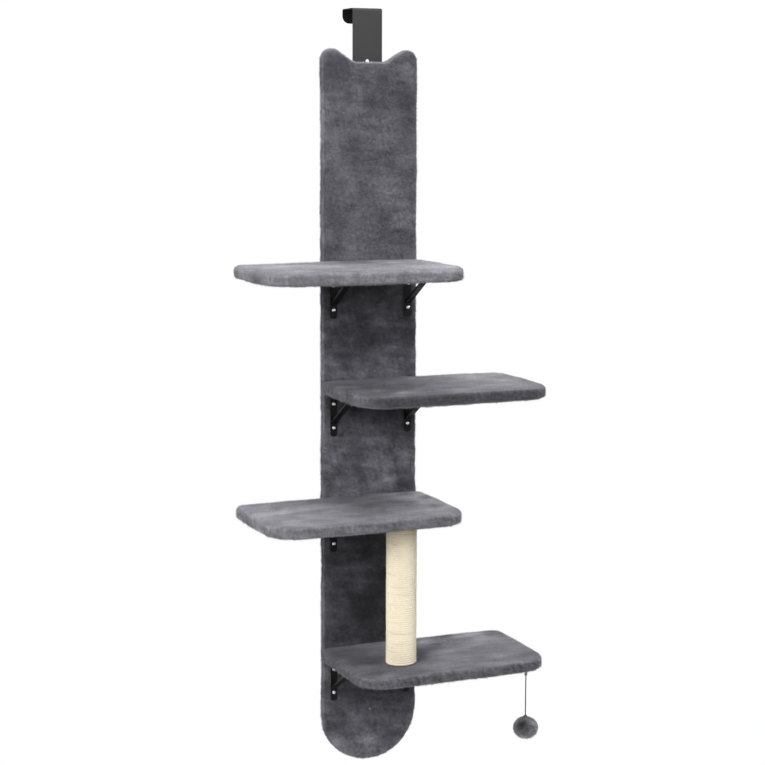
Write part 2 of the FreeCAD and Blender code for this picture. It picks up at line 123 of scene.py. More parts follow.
class SoftNoise:
    """Smooth, repeatable noise over points, as a sum of plane waves.

    Args:
        seed: Number that fixes the waves.
        size: Usual width of one patch, in metres.
        count: How many waves are added.
    """

    def __init__(self, seed: int, size: float, count: int = 16) -> None:
        """Draws the waves."""
        rng = np.random.default_rng(seed)
        ways = unit(rng.normal(size=(count, 3)))
        self.waves = ways * (math.pi / (size * rng.uniform(0.6, 1.7, count)))[:, None]
        self.shifts = rng.uniform(0, 2 * math.pi, count)
        self.level = 1.6 * math.sqrt(count / 2)

    def at(self, points: Rows) -> Rows:
        """Noise at each point, mostly between -1 and 1."""
        return np.sin(points @ self.waves.T + self.shifts).sum(1) / self.level


class NodeBench:
    """Short ways to lay out one node tree.

    Args:
        tree: Tree that the nodes go into.
    """

    def __init__(self, tree: Tree) -> None:
        """Keeps the tree."""
        self.tree = tree

    def feed(self, target: Socket, value: object) -> None:
        """Links a socket to a target, or sets a plain value on it.

        Args:
            target: Socket that takes it.
            value: Another socket, or a plain value.
        """
        if isinstance(value, Socket):
            self.tree.links.new(value, target)
        else:
            target.default_value = value

    def add(self, kind: str, values: Optional[dict] = None, **settings: object) -> bpy.types.Node:
        """New node of a kind.

        Args:
            kind: Type of the node.
            values: Links or plain values by the name or the place of an input.
            settings: Its other settings.

        Returns:
            The node.
        """
        node = self.tree.nodes.new(kind)
        for name, value in settings.items():
            setattr(node, name, value)
        for key, value in (values or {}).items():
            self.feed(node.inputs[key], value)
        return node

    def place(self) -> Socket:
        """Object coordinates."""
        return self.add("ShaderNodeTexCoord").outputs["Object"]

    def attribute(self, name: str, part: str = "Fac") -> Socket:
        """What the mesh holds under a name."""
        return self.add("ShaderNodeAttribute", attribute_name=name).outputs[part]

    def moved(self, vector: Socket, shift: Triple = (0, 0, 0), scale: Triple = (1, 1, 1)) -> Socket:
        """Coordinates shifted and stretched."""
        values = {"Vector": vector, "Location": shift, "Scale": scale}
        return self.add("ShaderNodeMapping", values).outputs[0]

    def noise(self, vector: Socket, scale: object, detail: float = 2.0, warp: float = 0.0) -> Socket:
        """Noise value from 0 to 1."""
        values = {"Vector": vector, "Scale": scale, "Detail": detail, "Distortion": warp}
        return self.add("ShaderNodeTexNoise", values).outputs["Fac"]

    def math(self, kind: str, first: object, second: object = 0.0) -> Socket:
        """Result of one sum on values."""
        return self.add("ShaderNodeMath", {0: first, 1: second}, operation=kind).outputs[0]

    def times(self, value: Socket, factor: object) -> Socket:
        """Value times a factor."""
        return self.math("MULTIPLY", value, factor)

    def spread(
            self, value: Socket, low: float, high: float, to_low: float = 0.0,
            to_high: float = 1.0) -> Socket:
        """Value stretched from one range to another, held at its ends."""
        values = dict(enumerate((value, low, high, to_low, to_high)))
        return self.add("ShaderNodeMapRange", values, interpolation_type="SMOOTHSTEP").outputs[0]

    def mix(self, share: object, first: object, second: object, way: str = "MIX") -> Socket:
        """Two colours mixed by a share.

        Args:
            share: How much of the second one shows.
            first: Colour or socket.
            second: Colour or socket.
            way: How they are mixed.

        Returns:
            The mixed colour.
        """
        first, second = ((*value, 1.0) if isinstance(value, tuple) else value for value in (first, second))
        values = {0: share, 6: first, 7: second}
        return self.add("ShaderNodeMix", values, data_type="RGBA", blend_type=way).outputs[2]

    def bump(self, height: Socket, distance: float, strength: float = 1.0) -> Socket:
        """Normal bent by a height."""
        values = {"Height": height, "Distance": distance, "Strength": strength}
        return self.add("ShaderNodeBump", values).outputs["Normal"]


class SharedPattern:
    """Node groups that several finishes use, each made once."""

    @staticmethod
    def brushed_nap(
            bench: NodeBench, place: Socket, patch_scale: Socket, stroke_scale: Socket,
            fibre_scale: Socket) -> dict[str, Socket]:
        """Patches where a pile is brushed this way and that, and its single fibres.

        Args:
            bench: Bench of the group.
            place: Coordinates that it follows.
            patch_scale: Scale of the patches.
            stroke_scale: Scale of the brush strokes.
            fibre_scale: Scale of the fibres.

        Returns:
            What the group puts out, by name.
        """
        wide = bench.noise(place, patch_scale, 4.0, 0.3)
        close = bench.noise(bench.moved(place, scale=(0.55, 0.55, 1.0)), stroke_scale, 3.0, 0.2)
        both = bench.math("ADD", bench.times(wide, 0.64), bench.times(close, 0.36))
        far = bench.moved(place, (0.37, 0.11, 0.73), (0.7, 0.7, 1.0))
        blotch = bench.noise(far, bench.times(patch_scale, 1.6), 3.0, 0.4)
        hair = bench.noise(place, fibre_scale, 3.0)
        return {
            "Patch": bench.spread(both, 0.34, 0.66),
            "Blotch": bench.spread(blotch, 0.52, 0.76),
            "Fibre": bench.spread(hair, 0.3, 0.7),
            "Height": bench.math("ADD", hair, bench.times(close, 0.6))}

    @staticmethod
    def surface_life(
            bench: NodeBench, place: Socket, grain_scale: Socket, smudge_scale: Socket) -> dict[str, Socket]:
        """Fine grain and wide smudges that keep a hard surface from looking even.

        Args:
            bench: Bench of the group.
            place: Coordinates that it follows.
            grain_scale: Scale of the grain.
            smudge_scale: Scale of the smudges.

        Returns:
            What the group puts out, by name.
        """
        grain = bench.noise(place, grain_scale)
        smudge = bench.noise(place, smudge_scale, 4.0, 0.8)
        return {
            "Grain": bench.spread(grain, 0.32, 0.68),
            "Smudge": bench.spread(smudge, 0.35, 0.68),
            "Height": grain}

    @staticmethod
    def make(pattern: Pattern, scales: Sequence[str]) -> Tree:
        """New group that a pattern lays out.

        Args:
            pattern: Method that lays it out.
            scales: Names of its inputs beside the coordinates.

        Returns:
            The group.
        """
        tree = bpy.data.node_groups.new(pattern.__name__, "ShaderNodeTree")
        tree.interface.new_socket("place", in_out="INPUT", socket_type="NodeSocketVector")
        for name in scales:
            tree.interface.new_socket(name, in_out="INPUT", socket_type="NodeSocketFloat")
        bench = NodeBench(tree)
        entry = bench.add("NodeGroupInput").outputs
        made = pattern(bench, entry["place"], **{name: entry[name] for name in scales})
        for name in made:
            tree.interface.new_socket(name, in_out="OUTPUT", socket_type="NodeSocketFloat")
        bench.add("NodeGroupOutput", made)
        return tree

    @classmethod
    def put(cls, bench: NodeBench, pattern: Pattern, **scales: float) -> dict[str, Socket]:
        """Group placed in a material.

        Args:
            bench: Bench of the material.
            pattern: Method that lays out the group.
            scales: Numbers for its inputs, by name.

        Returns:
            Its output sockets by name.
        """
        tree = bpy.data.node_groups.get(pattern.__name__) or cls.make(pattern, tuple(scales))
        node = bench.add("ShaderNodeGroup", {"place": bench.place(), **scales}, node_tree=tree)
        return {socket.name: socket for socket in node.outputs}


@dataclass(frozen=True)
class Finish:
    """Common start of every finish."""

    name: str

    def material(self) -> bpy.types.Material:
        """Material of this finish, made on first use.

        Returns:
            The material.
        """
        found = bpy.data.materials.get(self.name)
        if found:
            return found
        made = bpy.data.materials.new(self.name)
        made.use_nodes = True
        bench = NodeBench(made.node_tree)
        shader = made.node_tree.nodes["Principled BSDF"]
        for label, value in self.sockets(bench).items():
            bench.feed(shader.inputs[label], value)
        return made

    def sockets(self, bench: NodeBench) -> dict[str, object]:
        """Lays out the nodes of the finish.

        Args:
            bench: Bench of the material.

        Returns:
            What goes into the shader's sockets, by name.
        """
        raise NotImplementedError


@dataclass(frozen=True)
class PlushFinish(Finish):
    """Short plush: roots darkened as painted shade deep in the pile, pale tips, brushed patches, painted
    light and shade from face to face, and a soft sheen.
    """

    light: Triple = linear(121, 120, 126)
    dark: Triple = linear(85, 84, 90)
    blotch: Triple = linear(58, 57, 63)
    # Colour mixed in toward the roots: painted shade deep in the pile.
    root: Triple = linear(70, 70, 75)
    patch_scale: float = 15.0
    stroke_scale: float = 130.0
    fibre_scale: float = 430.0
    blotches: float = 0.38
    fibre: Triple = linear(64, 64, 69)
    sheen_tint: Triple = linear(200, 200, 212)

    def sockets(self, bench: NodeBench) -> dict[str, object]:
        """Lays out the nodes of the finish.

        Args:
            bench: Bench of the material.

        Returns:
            What goes into the shader's sockets, by name.
        """
        nap = SharedPattern.put(
            bench, SharedPattern.brushed_nap, patch_scale=self.patch_scale, stroke_scale=self.stroke_scale,
            fibre_scale=self.fibre_scale)
        tone = bench.mix(nap["Patch"], self.dark, self.light)
        tone = bench.mix(bench.times(nap["Blotch"], self.blotches), tone, self.blotch)
        tone = bench.mix(bench.times(nap["Fibre"], 0.35), tone, self.fibre)
        # Multiplies in the face tone: painted light and shade by which way a face looks, with the nap's own
        # patches.
        tone = bench.mix(1.0, tone, bench.attribute("painted_light_and_nap_tone", "Color"), "MULTIPLY")
        # Roots, and the bare skin between them, take part of the root colour: painted shade deep in the
        # pile.
        depth = bench.spread(bench.attribute("pile_height"), 0.0, 0.8)
        return {
            "Base Color": bench.mix(depth, bench.mix(0.4, tone, self.root), tone),
            "Roughness": bench.spread(nap["Fibre"], 0.0, 1.0, 0.82, 0.98),
            "Normal": bench.bump(nap["Height"], 1.2 * MM, 0.6),
            "Specular IOR Level": 0.0, "Sheen Weight": 0.3, "Sheen Roughness": 0.45,
            "Sheen Tint": (*self.sheen_tint, 1.0)}


@dataclass(frozen=True)
class PaintFinish(Finish):
    """Baked paint, with fine texture, worn smudges and sometimes a rear painted darker as shade."""

    colour: Triple = linear(20, 20, 21)
    worn: Triple = linear(34, 34, 35)
    roughness: float = 0.45
    grain_scale: float = 1400.0
    smudge_scale: float = 22.0
    relief: float = 0.03 * MM
    gloss: float = 0.8
    painted_rear_shade: Optional[Triple] = None
    painted_rear_shade_span: tuple[float, float] = (-30.0 * MM, -24.0 * MM)

    def sockets(self, bench: NodeBench) -> dict[str, object]:
        """Lays out the nodes of the finish.

        Args:
            bench: Bench of the material.

        Returns:
            What goes into the shader's sockets, by name.
        """
        life = SharedPattern.put(
            bench, SharedPattern.surface_life, grain_scale=self.grain_scale, smudge_scale=self.smudge_scale)
        tone = bench.mix(bench.times(life["Smudge"], 0.45), self.colour, self.worn)
        tone = bench.mix(bench.times(life["Grain"], 0.25), tone, self.colour)
        # Painted shade: the part behind, past a depth, is darkened.
        if self.painted_rear_shade:
            depth = bench.add("ShaderNodeSeparateXYZ", {0: bench.place()}).outputs[1]
            tone = bench.mix(bench.spread(depth, *self.painted_rear_shade_span), tone, self.painted_rear_shade)
        smooth, rough = self.roughness - 0.08, self.roughness + 0.1
        return {
            "Base Color": tone,
            "Roughness": bench.spread(life["Smudge"], 0.0, 1.0, smooth, rough),
            "Normal": bench.bump(life["Height"], self.relief),
            "Specular IOR Level": self.gloss}


@dataclass(frozen=True)
class ZincFinish(Finish):
    """Bright zinc plate with a faint bloom."""

    bright: Triple = linear(230, 231, 234)
    dull: Triple = linear(176, 178, 183)

    def sockets(self, bench: NodeBench) -> dict[str, object]:
        """Lays out the nodes of the finish.

        Args:
            bench: Bench of the material.

        Returns:
            What goes into the shader's sockets, by name.
        """
        life = SharedPattern.put(
            bench, SharedPattern.surface_life, grain_scale=900.0, smudge_scale=120.0)
        return {
            "Base Color": bench.mix(life["Smudge"], self.bright, self.dull),
            "Roughness": bench.spread(life["Grain"], 0.0, 1.0, 0.22, 0.42),
            "Normal": bench.bump(life["Height"], 0.04 * MM), "Metallic": 1.0}


@dataclass(frozen=True)
class ChipboardFinish(Finish):
    """Pressed wood chips of several browns."""

    pale: Triple = linear(205, 176, 132)
    brown: Triple = linear(150, 112, 70)
    smudge: Triple = linear(120, 88, 54)

    def sockets(self, bench: NodeBench) -> dict[str, object]:
        """Lays out the nodes of the finish.

        Args:
            bench: Bench of the material.

        Returns:
            What goes into the shader's sockets, by name.
        """
        flat = bench.moved(bench.place(), scale=(1.0, 1.0, 0.45))
        cells = bench.add("ShaderNodeTexVoronoi", {"Vector": flat, "Scale": 260.0}, feature="F1")
        chip = bench.add("ShaderNodeSeparateColor", {0: cells.outputs["Color"]}).outputs[0]
        tone = bench.mix(bench.spread(chip, 0.0, 1.0), self.pale, self.brown)
        life = SharedPattern.put(
            bench, SharedPattern.surface_life, grain_scale=700.0, smudge_scale=30.0)
        return {
            "Base Color": bench.mix(bench.times(life["Smudge"], 0.3), tone, self.smudge),
            "Roughness": bench.spread(life["Grain"], 0.0, 1.0, 0.7, 0.95),
            "Normal": bench.bump(cells.outputs["Distance"], 0.3 * MM)}


@dataclass(frozen=True)
class FibreFinish(Finish):
    """Paper, wood or cord: a base colour with streaks along one axis."""

    pale: Triple = linear(190, 160, 118)
    deep: Triple = linear(150, 120, 82)
    stretch: Triple = (1.0, 1.0, 0.08)
    scale: float = 240.0
    roughness: float = 0.8
    relief: float = 0.3 * MM

    def sockets(self, bench: NodeBench) -> dict[str, object]:
        """Lays out the nodes of the finish.

        Args:
            bench: Bench of the material.

        Returns:
            What goes into the shader's sockets, by name.
        """
        streak = bench.noise(bench.moved(bench.place(), scale=self.stretch), self.scale, 4.0, 0.3)
        return {
            "Base Color": bench.mix(bench.spread(streak, 0.3, 0.7), self.pale, self.deep),
            "Roughness": bench.spread(streak, 0.3, 0.7, self.roughness - 0.1, self.roughness + 0.1),
            "Normal": bench.bump(streak, self.relief)}


@dataclass(frozen=True)
class SisalFinish(Finish):
    """Twisted sisal rope: cream strands, straw shadows between them and single hairs."""

    cream: Triple = linear(247, 239, 220)
    straw: Triple = linear(244, 235, 212)
    shade: Triple = linear(206, 188, 150)
    lay: float = 11.0 * MM
    strands: int = 3

    def sockets(self, bench: NodeBench) -> dict[str, object]:
        """Lays out the nodes of the finish.

        Args:
            bench: Bench of the material.

        Returns:
            What goes into the shader's sockets, by name.
        """
        place = bench.place()
        turn = bench.times(bench.attribute("rope_run"), 2 * math.pi * self.strands / self.lay)
        turn = bench.math("ADD", turn, bench.times(bench.noise(place, 55.0, 3.0), 14.0))
        round_it = bench.times(bench.attribute("rope_round"), float(self.strands))
        ridge = bench.spread(bench.math("SINE", bench.math("ADD", turn, round_it)), -1.0, 0.6)
        hair = bench.noise(bench.moved(place, scale=(1.0, 1.0, 3.0)), 900.0, 3.0, 0.4)
        wide = bench.noise(place, 16.0, 3.0, 0.6)
        streak = bench.noise(bench.moved(place, scale=(0.05, 0.05, 1.0)), 210.0, 3.0, 0.3)
        tone = bench.mix(ridge, self.straw, self.cream)
        tone = bench.mix(bench.spread(hair, 0.52, 0.8, 0.0, 0.55), tone, self.shade)
        tone = bench.mix(bench.spread(wide, 0.45, 0.75, 0.0, 0.3), tone, self.straw)
        return {
            "Base Color": bench.mix(bench.spread(streak, 0.56, 0.74, 0.0, 0.5), tone, self.shade),
            "Roughness": bench.spread(hair, 0.3, 0.7, 0.72, 0.95),
            "Normal": bench.bump(bench.math("ADD", ridge, bench.times(hair, 0.5)), 0.4 * MM),
            "Specular IOR Level": 0.2, "Diffuse Roughness": 1.0}


PANEL_PLUSH = PlushFinish("brushed_plush")
# The panels' plush in lighter colours: painted light on the shelves, beside the way their nap lies.
SHELF_PLUSH_PAINTED_LIGHTER = PlushFinish(
    "shelf_plush_painted_lighter", linear(147, 146, 151), linear(129, 128, 133), linear(104, 103, 108), linear(86, 86, 91),
    9.0, 90.0, 430.0, 0.4)
BALL_PLUSH = PlushFinish(
    "ball_fur", linear(162, 161, 166), linear(120, 119, 124), linear(86, 85, 90), linear(74, 74, 79),
    26.0, 90.0)
# The hook's rear flap is painted darker as the strap's shade.
HOOK_PAINT = PaintFinish(
    "hook_paint", linear(45, 45, 45), linear(50, 50, 50), 0.6, 1400.0, 14.0, 0.02 * MM, 0.12,
    linear(5, 5, 5))
BRACKET_PAINT = PaintFinish(
    "bracket_paint", linear(10, 10, 11), linear(15, 15, 16), 0.55, 1800.0, 40.0, 0.03 * MM, 0.15)
FLOOR_PAINT = PaintFinish("pale_floor", linear(240, 240, 240), linear(236, 236, 236), 0.8, 300.0, 3.0)
ZINC = ZincFinish("zinc_plate")
# A darker copy of the zinc for the lone screw in the lower panel: painted shade.
SHADED_ZINC = ZincFinish("shaded_zinc", linear(120, 121, 125), linear(86, 88, 92))
CHIPBOARD = ChipboardFinish("pressed_chips")
CARDBOARD = FibreFinish("grey_card")
PLUG_WOOD = FibreFinish(
    "turned_wood", linear(222, 192, 142), linear(188, 150, 98), (1.0, 0.1, 1.0), 150.0, 0.7)
YARN_RUN = ((1.0, 1.0, 0.6), 1500.0, 0.85, 0.2 * MM)
CORD_YARN = FibreFinish("twisted_yarn", linear(25, 25, 28), linear(14, 14, 16), *YARN_RUN)
# A paler copy of the cord's yarn for the loop, which hangs in shade below the shelf: painted light.
LOOP_YARN_PAINTED_LIGHTER = FibreFinish("loop_yarn_painted_lighter", linear(170, 170, 174), linear(140, 140, 144), *YARN_RUN)
SISAL = SisalFinish("twisted_sisal")


class Bench:
    """Mesh work that the pieces share."""

    @staticmethod
    def show(name: str, data: bpy.types.ID) -> Piece:
        """New object in the scene, at the origin.

        Args:
            name: Name of the object.
            data: What it shows.

        Returns:
            The object.
        """
        piece = bpy.data.objects.new(name, data)
        bpy.context.scene.collection.objects.link(piece)
        return piece

    @staticmethod
    def place(name: str, mesh: Mesh, finish: Finish) -> Piece:
        """Object with its mesh and its finish.

        Args:
            name: Name of the object.
            mesh: Its mesh.
            finish: Its finish.

        Returns:
            The object.
        """
        mesh.materials.clear()
        mesh.materials.append(finish.material())
        return Bench.show(name, mesh)

    @staticmethod
    def shade(mesh: Mesh, smooth: bool = True) -> Mesh:
        """Mesh whose faces are all smooth or all flat."""
        mesh.polygons.foreach_set("use_smooth", [smooth] * len(mesh.polygons))
        return mesh

    @staticmethod
    def mesh_of(shape: Shape, name: str, smooth: bool = True) -> Mesh:
        """Mesh from a bmesh, which is freed.

        Args:
            shape: Form that it is made from.
            name: Name of the mesh.
            smooth: Whether its faces are shaded as one.

        Returns:
            The mesh.
        """
        bmesh.ops.recalc_face_normals(shape, faces=shape.faces)
        mesh = bpy.data.meshes.new(name)
        shape.to_mesh(mesh)
        shape.free()
        return Bench.shade(mesh, smooth)

    @staticmethod
    def settle_modifiers(piece: Piece) -> None:
        """Puts the result of a piece's modifiers into its mesh.

        Args:
            piece: Piece with modifiers.
        """
        evaluated = piece.evaluated_get(bpy.context.evaluated_depsgraph_get())
        mesh = bpy.data.meshes.new_from_object(evaluated)
        piece.modifiers.clear()
        piece.data = Bench.shade(mesh)

    @staticmethod
    def points(mesh: Mesh) -> Rows:
        """Vertex places as an array.

        Args:
            mesh: Mesh to read.

        Returns:
            One row for each vertex.
        """
        flat = np.zeros(len(mesh.vertices) * 3)
        mesh.vertices.foreach_get("co", flat)
        return flat.reshape(-1, 3)

    @staticmethod
    def normals(mesh: Mesh) -> Rows:
        """Vertex normals as an array.

        Args:
            mesh: Mesh to read.

        Returns:
            One row for each vertex.
        """
        flat = np.zeros(len(mesh.vertices) * 3)
        mesh.vertex_normals.foreach_get("vector", flat)
        return flat.reshape(-1, 3)

    @staticmethod
    def move_to(mesh: Mesh, points: Rows) -> None:
        """Moves the vertices to new places."""
        mesh.vertices.foreach_set("co", points.ravel())
        mesh.update()

    @staticmethod
    def hold(mesh: Mesh, name: str, values: Rows) -> None:
        """Keeps one number for each vertex under a name."""
        mesh.attributes.new(name, "FLOAT", "POINT").data.foreach_set("value", values.astype(np.float32))

    @staticmethod
    def join(shapes: Sequence[Shape]) -> Shape:
        """One bmesh from several, which are freed.

        Args:
            shapes: Forms to put together.

        Returns:
            The whole.
        """
        whole = bmesh.new()
        for shape in shapes:
            part = bpy.data.meshes.new("part")
            shape.to_mesh(part)
            shape.free()
            whole.from_mesh(part)
            bpy.data.meshes.remove(part)
        return whole

    @staticmethod
    def rounded_loop(corners: Sequence[Triple], steps: int) -> list[Vector]:
        """Closed outline whose corners are turned by arcs.

        Args:
            corners: Two coordinates and a radius for each corner.
            steps: Straight pieces in each arc.

        Returns:
            Points of the outline in the plane.
        """
        points = []
        for index, (across, along, radius) in enumerate(corners):
            corner = Vector((across, along))
            before = (Vector(corners[index - 1][:2]) - corner).normalized()
            after = (Vector(corners[(index + 1) % len(corners)][:2]) - corner).normalized()
            half = before.angle(after) / 2
            middle = corner + (before + after).normalized() * radius / math.sin(half)
            start = corner + before * radius / math.tan(half) - middle
            sweep = (math.pi - 2 * half) * (1 if before.cross(after) < 0 else -1)
            points += [
                middle + Matrix.Rotation(sweep * step / steps, 2) @ start for step in range(steps + 1)]
        return points

    @staticmethod
    def thicken(shape: Shape, depth: Sequence[float]) -> Shape:
        """Closes flat faces and their copy at a depth into a solid.

        Args:
            shape: Flat form.
            depth: Way to the copy.

        Returns:
            The same form, now closed.
        """
        made = bmesh.ops.extrude_face_region(shape, geom=shape.faces[:], use_keep_orig=True)
        far = [part for part in made["geom"] if isinstance(part, bmesh.types.BMVert)]
        bmesh.ops.translate(shape, verts=far, vec=depth)
        bmesh.ops.recalc_face_normals(shape, faces=shape.faces)
        return shape

    @staticmethod
    def plate(points: Sequence[Vector], depth: Sequence[float]) -> Shape:
        """Plate between an outline and its copy at a depth.

        Args:
            points: Outline.
            depth: Way to the copy.

        Returns:
            The plate.
        """
        shape = bmesh.new()
        shape.faces.new([shape.verts.new(point) for point in points])
        return Bench.thicken(shape, depth)

    @staticmethod
    def soften(shape: Shape, chosen: Callable[[bmesh.types.BMEdge], bool], radius: float) -> None:
        """Rounds the edges that a test picks.

        Args:
            shape: Form to work on.
            chosen: Test of an edge.
            radius: Turn of the edges.
        """
        edges = [edge for edge in shape.edges if chosen(edge)]
        bmesh.ops.bevel(
            shape, geom=edges, offset=radius, offset_type="OFFSET", segments=4, profile=0.5,
            affect="EDGES", material=-1, clamp_overlap=True)

    @staticmethod
    def repeat(template: Shape, frames: Rows, name: str) -> Mesh:
        """Mesh of many copies of one small form.

        Args:
            template: Form to repeat, which is freed.
            frames: For each copy its three axes and its place, as rows of a 4 by 3 array.
            name: Name of the mesh.

        Returns:
            Mesh with the copies one after another.
        """
        template.verts.index_update()
        form = np.array([vert.co for vert in template.verts])
        loops = np.array([vert.index for face in template.faces for vert in face.verts])
        sides = np.array([len(face.verts) for face in template.faces])
        template.free()
        count = len(frames)
        places = np.einsum("vk,nkc->nvc", form, frames[:, :3]) + frames[:, 3][:, None]
        corner = (loops[None] + len(form) * np.arange(count)[:, None]).ravel()
        total = np.tile(sides, count)
        mesh = bpy.data.meshes.new(name)
        mesh.vertices.add(places.shape[0] * places.shape[1])
        mesh.vertices.foreach_set("co", places.ravel())
        mesh.loops.add(len(corner))
        mesh.loops.foreach_set("vertex_index", corner.astype(np.int32))
        mesh.polygons.add(len(total))
        mesh.polygons.foreach_set("loop_start", (np.cumsum(total) - total).astype(np.int32))
        mesh.update(calc_edges=True)
        return Bench.shade(mesh)


class PileLay(Enum):
    """Way in which a pile is brushed, over most of a piece."""

    DOWN = (0.0, 0.0, -1.0)
    FORWARD = (0.15, -1.0, -0.2)


@dataclass
class LightShadeAndNapZone:
    """Soft-edged place painted paler or darker: painted light and shade, and nap brushed another way.

    Args:
        middle: Its middle.
        reach: How far it goes each way.
        gain: Share of the colour that shows in its middle.
        whole: Whether the narrow faces have it too.
    """

    middle: Triple
    reach: Triple
    gain: float
    whole: bool = False

    def at(self, places: Rows) -> Rows:
        """Share of the colour at each place.

        Args:
            places: Places on the plush.

        Returns:
            One share for each.
        """
        away = (places - np.array(self.middle)) / np.array(self.reach)
        near = np.exp(-(away ** 2).sum(1)) * (1 + 0.5 * SoftNoise(79, 0.035).at(places))
        return 1 + (self.gain - 1) * np.clip(near, 0, 1)


@dataclass
class FaceLightAndNapTone:
    """How much of its colour a plush shows from face to face: painted light and shade by which way a face
    looks, a painted highlight along lower edges, painted light and shade in zones, and the nap's own
    patches.

    Args:
        top: Share that a face upward or downward shows: painted light for how the light falls on it.
        front: Share that a face to the room shows, at the left and at the right end: painted light and
            shade, partly the nap.
        back: Share that a face to the door shows: painted light on faces turned away from the lamps.
        side: Share that a face to the left and one to the right shows: painted light on the narrow faces.
        rim: Painted highlight added along a lower edge, where the fibres catch light.
        mottle: Depth of the patches on upright faces.
        speckle: Depth of the small clumps on upright faces.
        strokes: Depth of the long brush strokes on broad faces.
        grain: Spread from tuft to tuft.
        broad: Axis across the broad faces.
        zones: Places painted paler or darker: painted light and shade, and nap brushed another way.
    """

    top: float = 1.0
    front: tuple[float, float] = (1.0, 1.0)
    back: float = 1.0
    side: tuple[float, float] = (1.0, 1.0)
    rim: float = 0.0
    mottle: float = 0.0
    speckle: float = 0.0
    strokes: float = 0.0
    grain: float = 0.12
    broad: int = 1
    zones: Sequence[LightShadeAndNapZone] = ()

    def at(self, places: Rows, ways: Rows) -> Rows:
        """Share at each place, before the grain.

        Args:
            places: Places on the plush.
            ways: Normals there.

        Returns:
            One share for each.
        """
        across = places[:, 0]
        run = (across - across.min()) / (across.max() - across.min())
        # Shares by which way a face looks: painted light and shade.
        front = self.front[0] + (self.front[1] - self.front[0]) * run
        front = np.where(ways[:, 1] > 0, self.back, front)
        side = np.where(ways[:, 0] < 0, *self.side)
        facing = ways ** 2
        level = ramp(facing[:, self.broad], 0.25, 0.5)
        facing *= ((1 - level) / np.maximum(1 - facing[:, self.broad], 1e-6))[:, None]
        facing[:, self.broad] = level
        shown = facing[:, 0] * side + facing[:, 1] * front + facing[:, 2] * self.top
        # Painted highlight along lower edges.
        shown += self.rim * np.clip(1 - np.abs(ways[:, 2] + 0.6) / 0.4, 0, 1)
        clumps = self.mottle * SoftNoise(77, 0.02).at(places)
        clumps += self.speckle * SoftNoise(78, 0.0045, 28).at(places)
        shown *= np.clip(1 + (1 - facing[:, 2]) * clumps, 0.3, 2)
        brushed = places * np.array((0.45, 1.5, 1.5))
        strokes = SoftNoise(80, 0.024).at(brushed) + 0.8 * SoftNoise(81, 0.011).at(brushed)
        shown *= 1 + self.strokes * level * strokes
        # Zones of painted light and shade, and of nap brushed another way.
        for zone in self.zones:
            shown *= 1 + (zone.at(places) - 1) * (1 if zone.whole else level)
        return shown


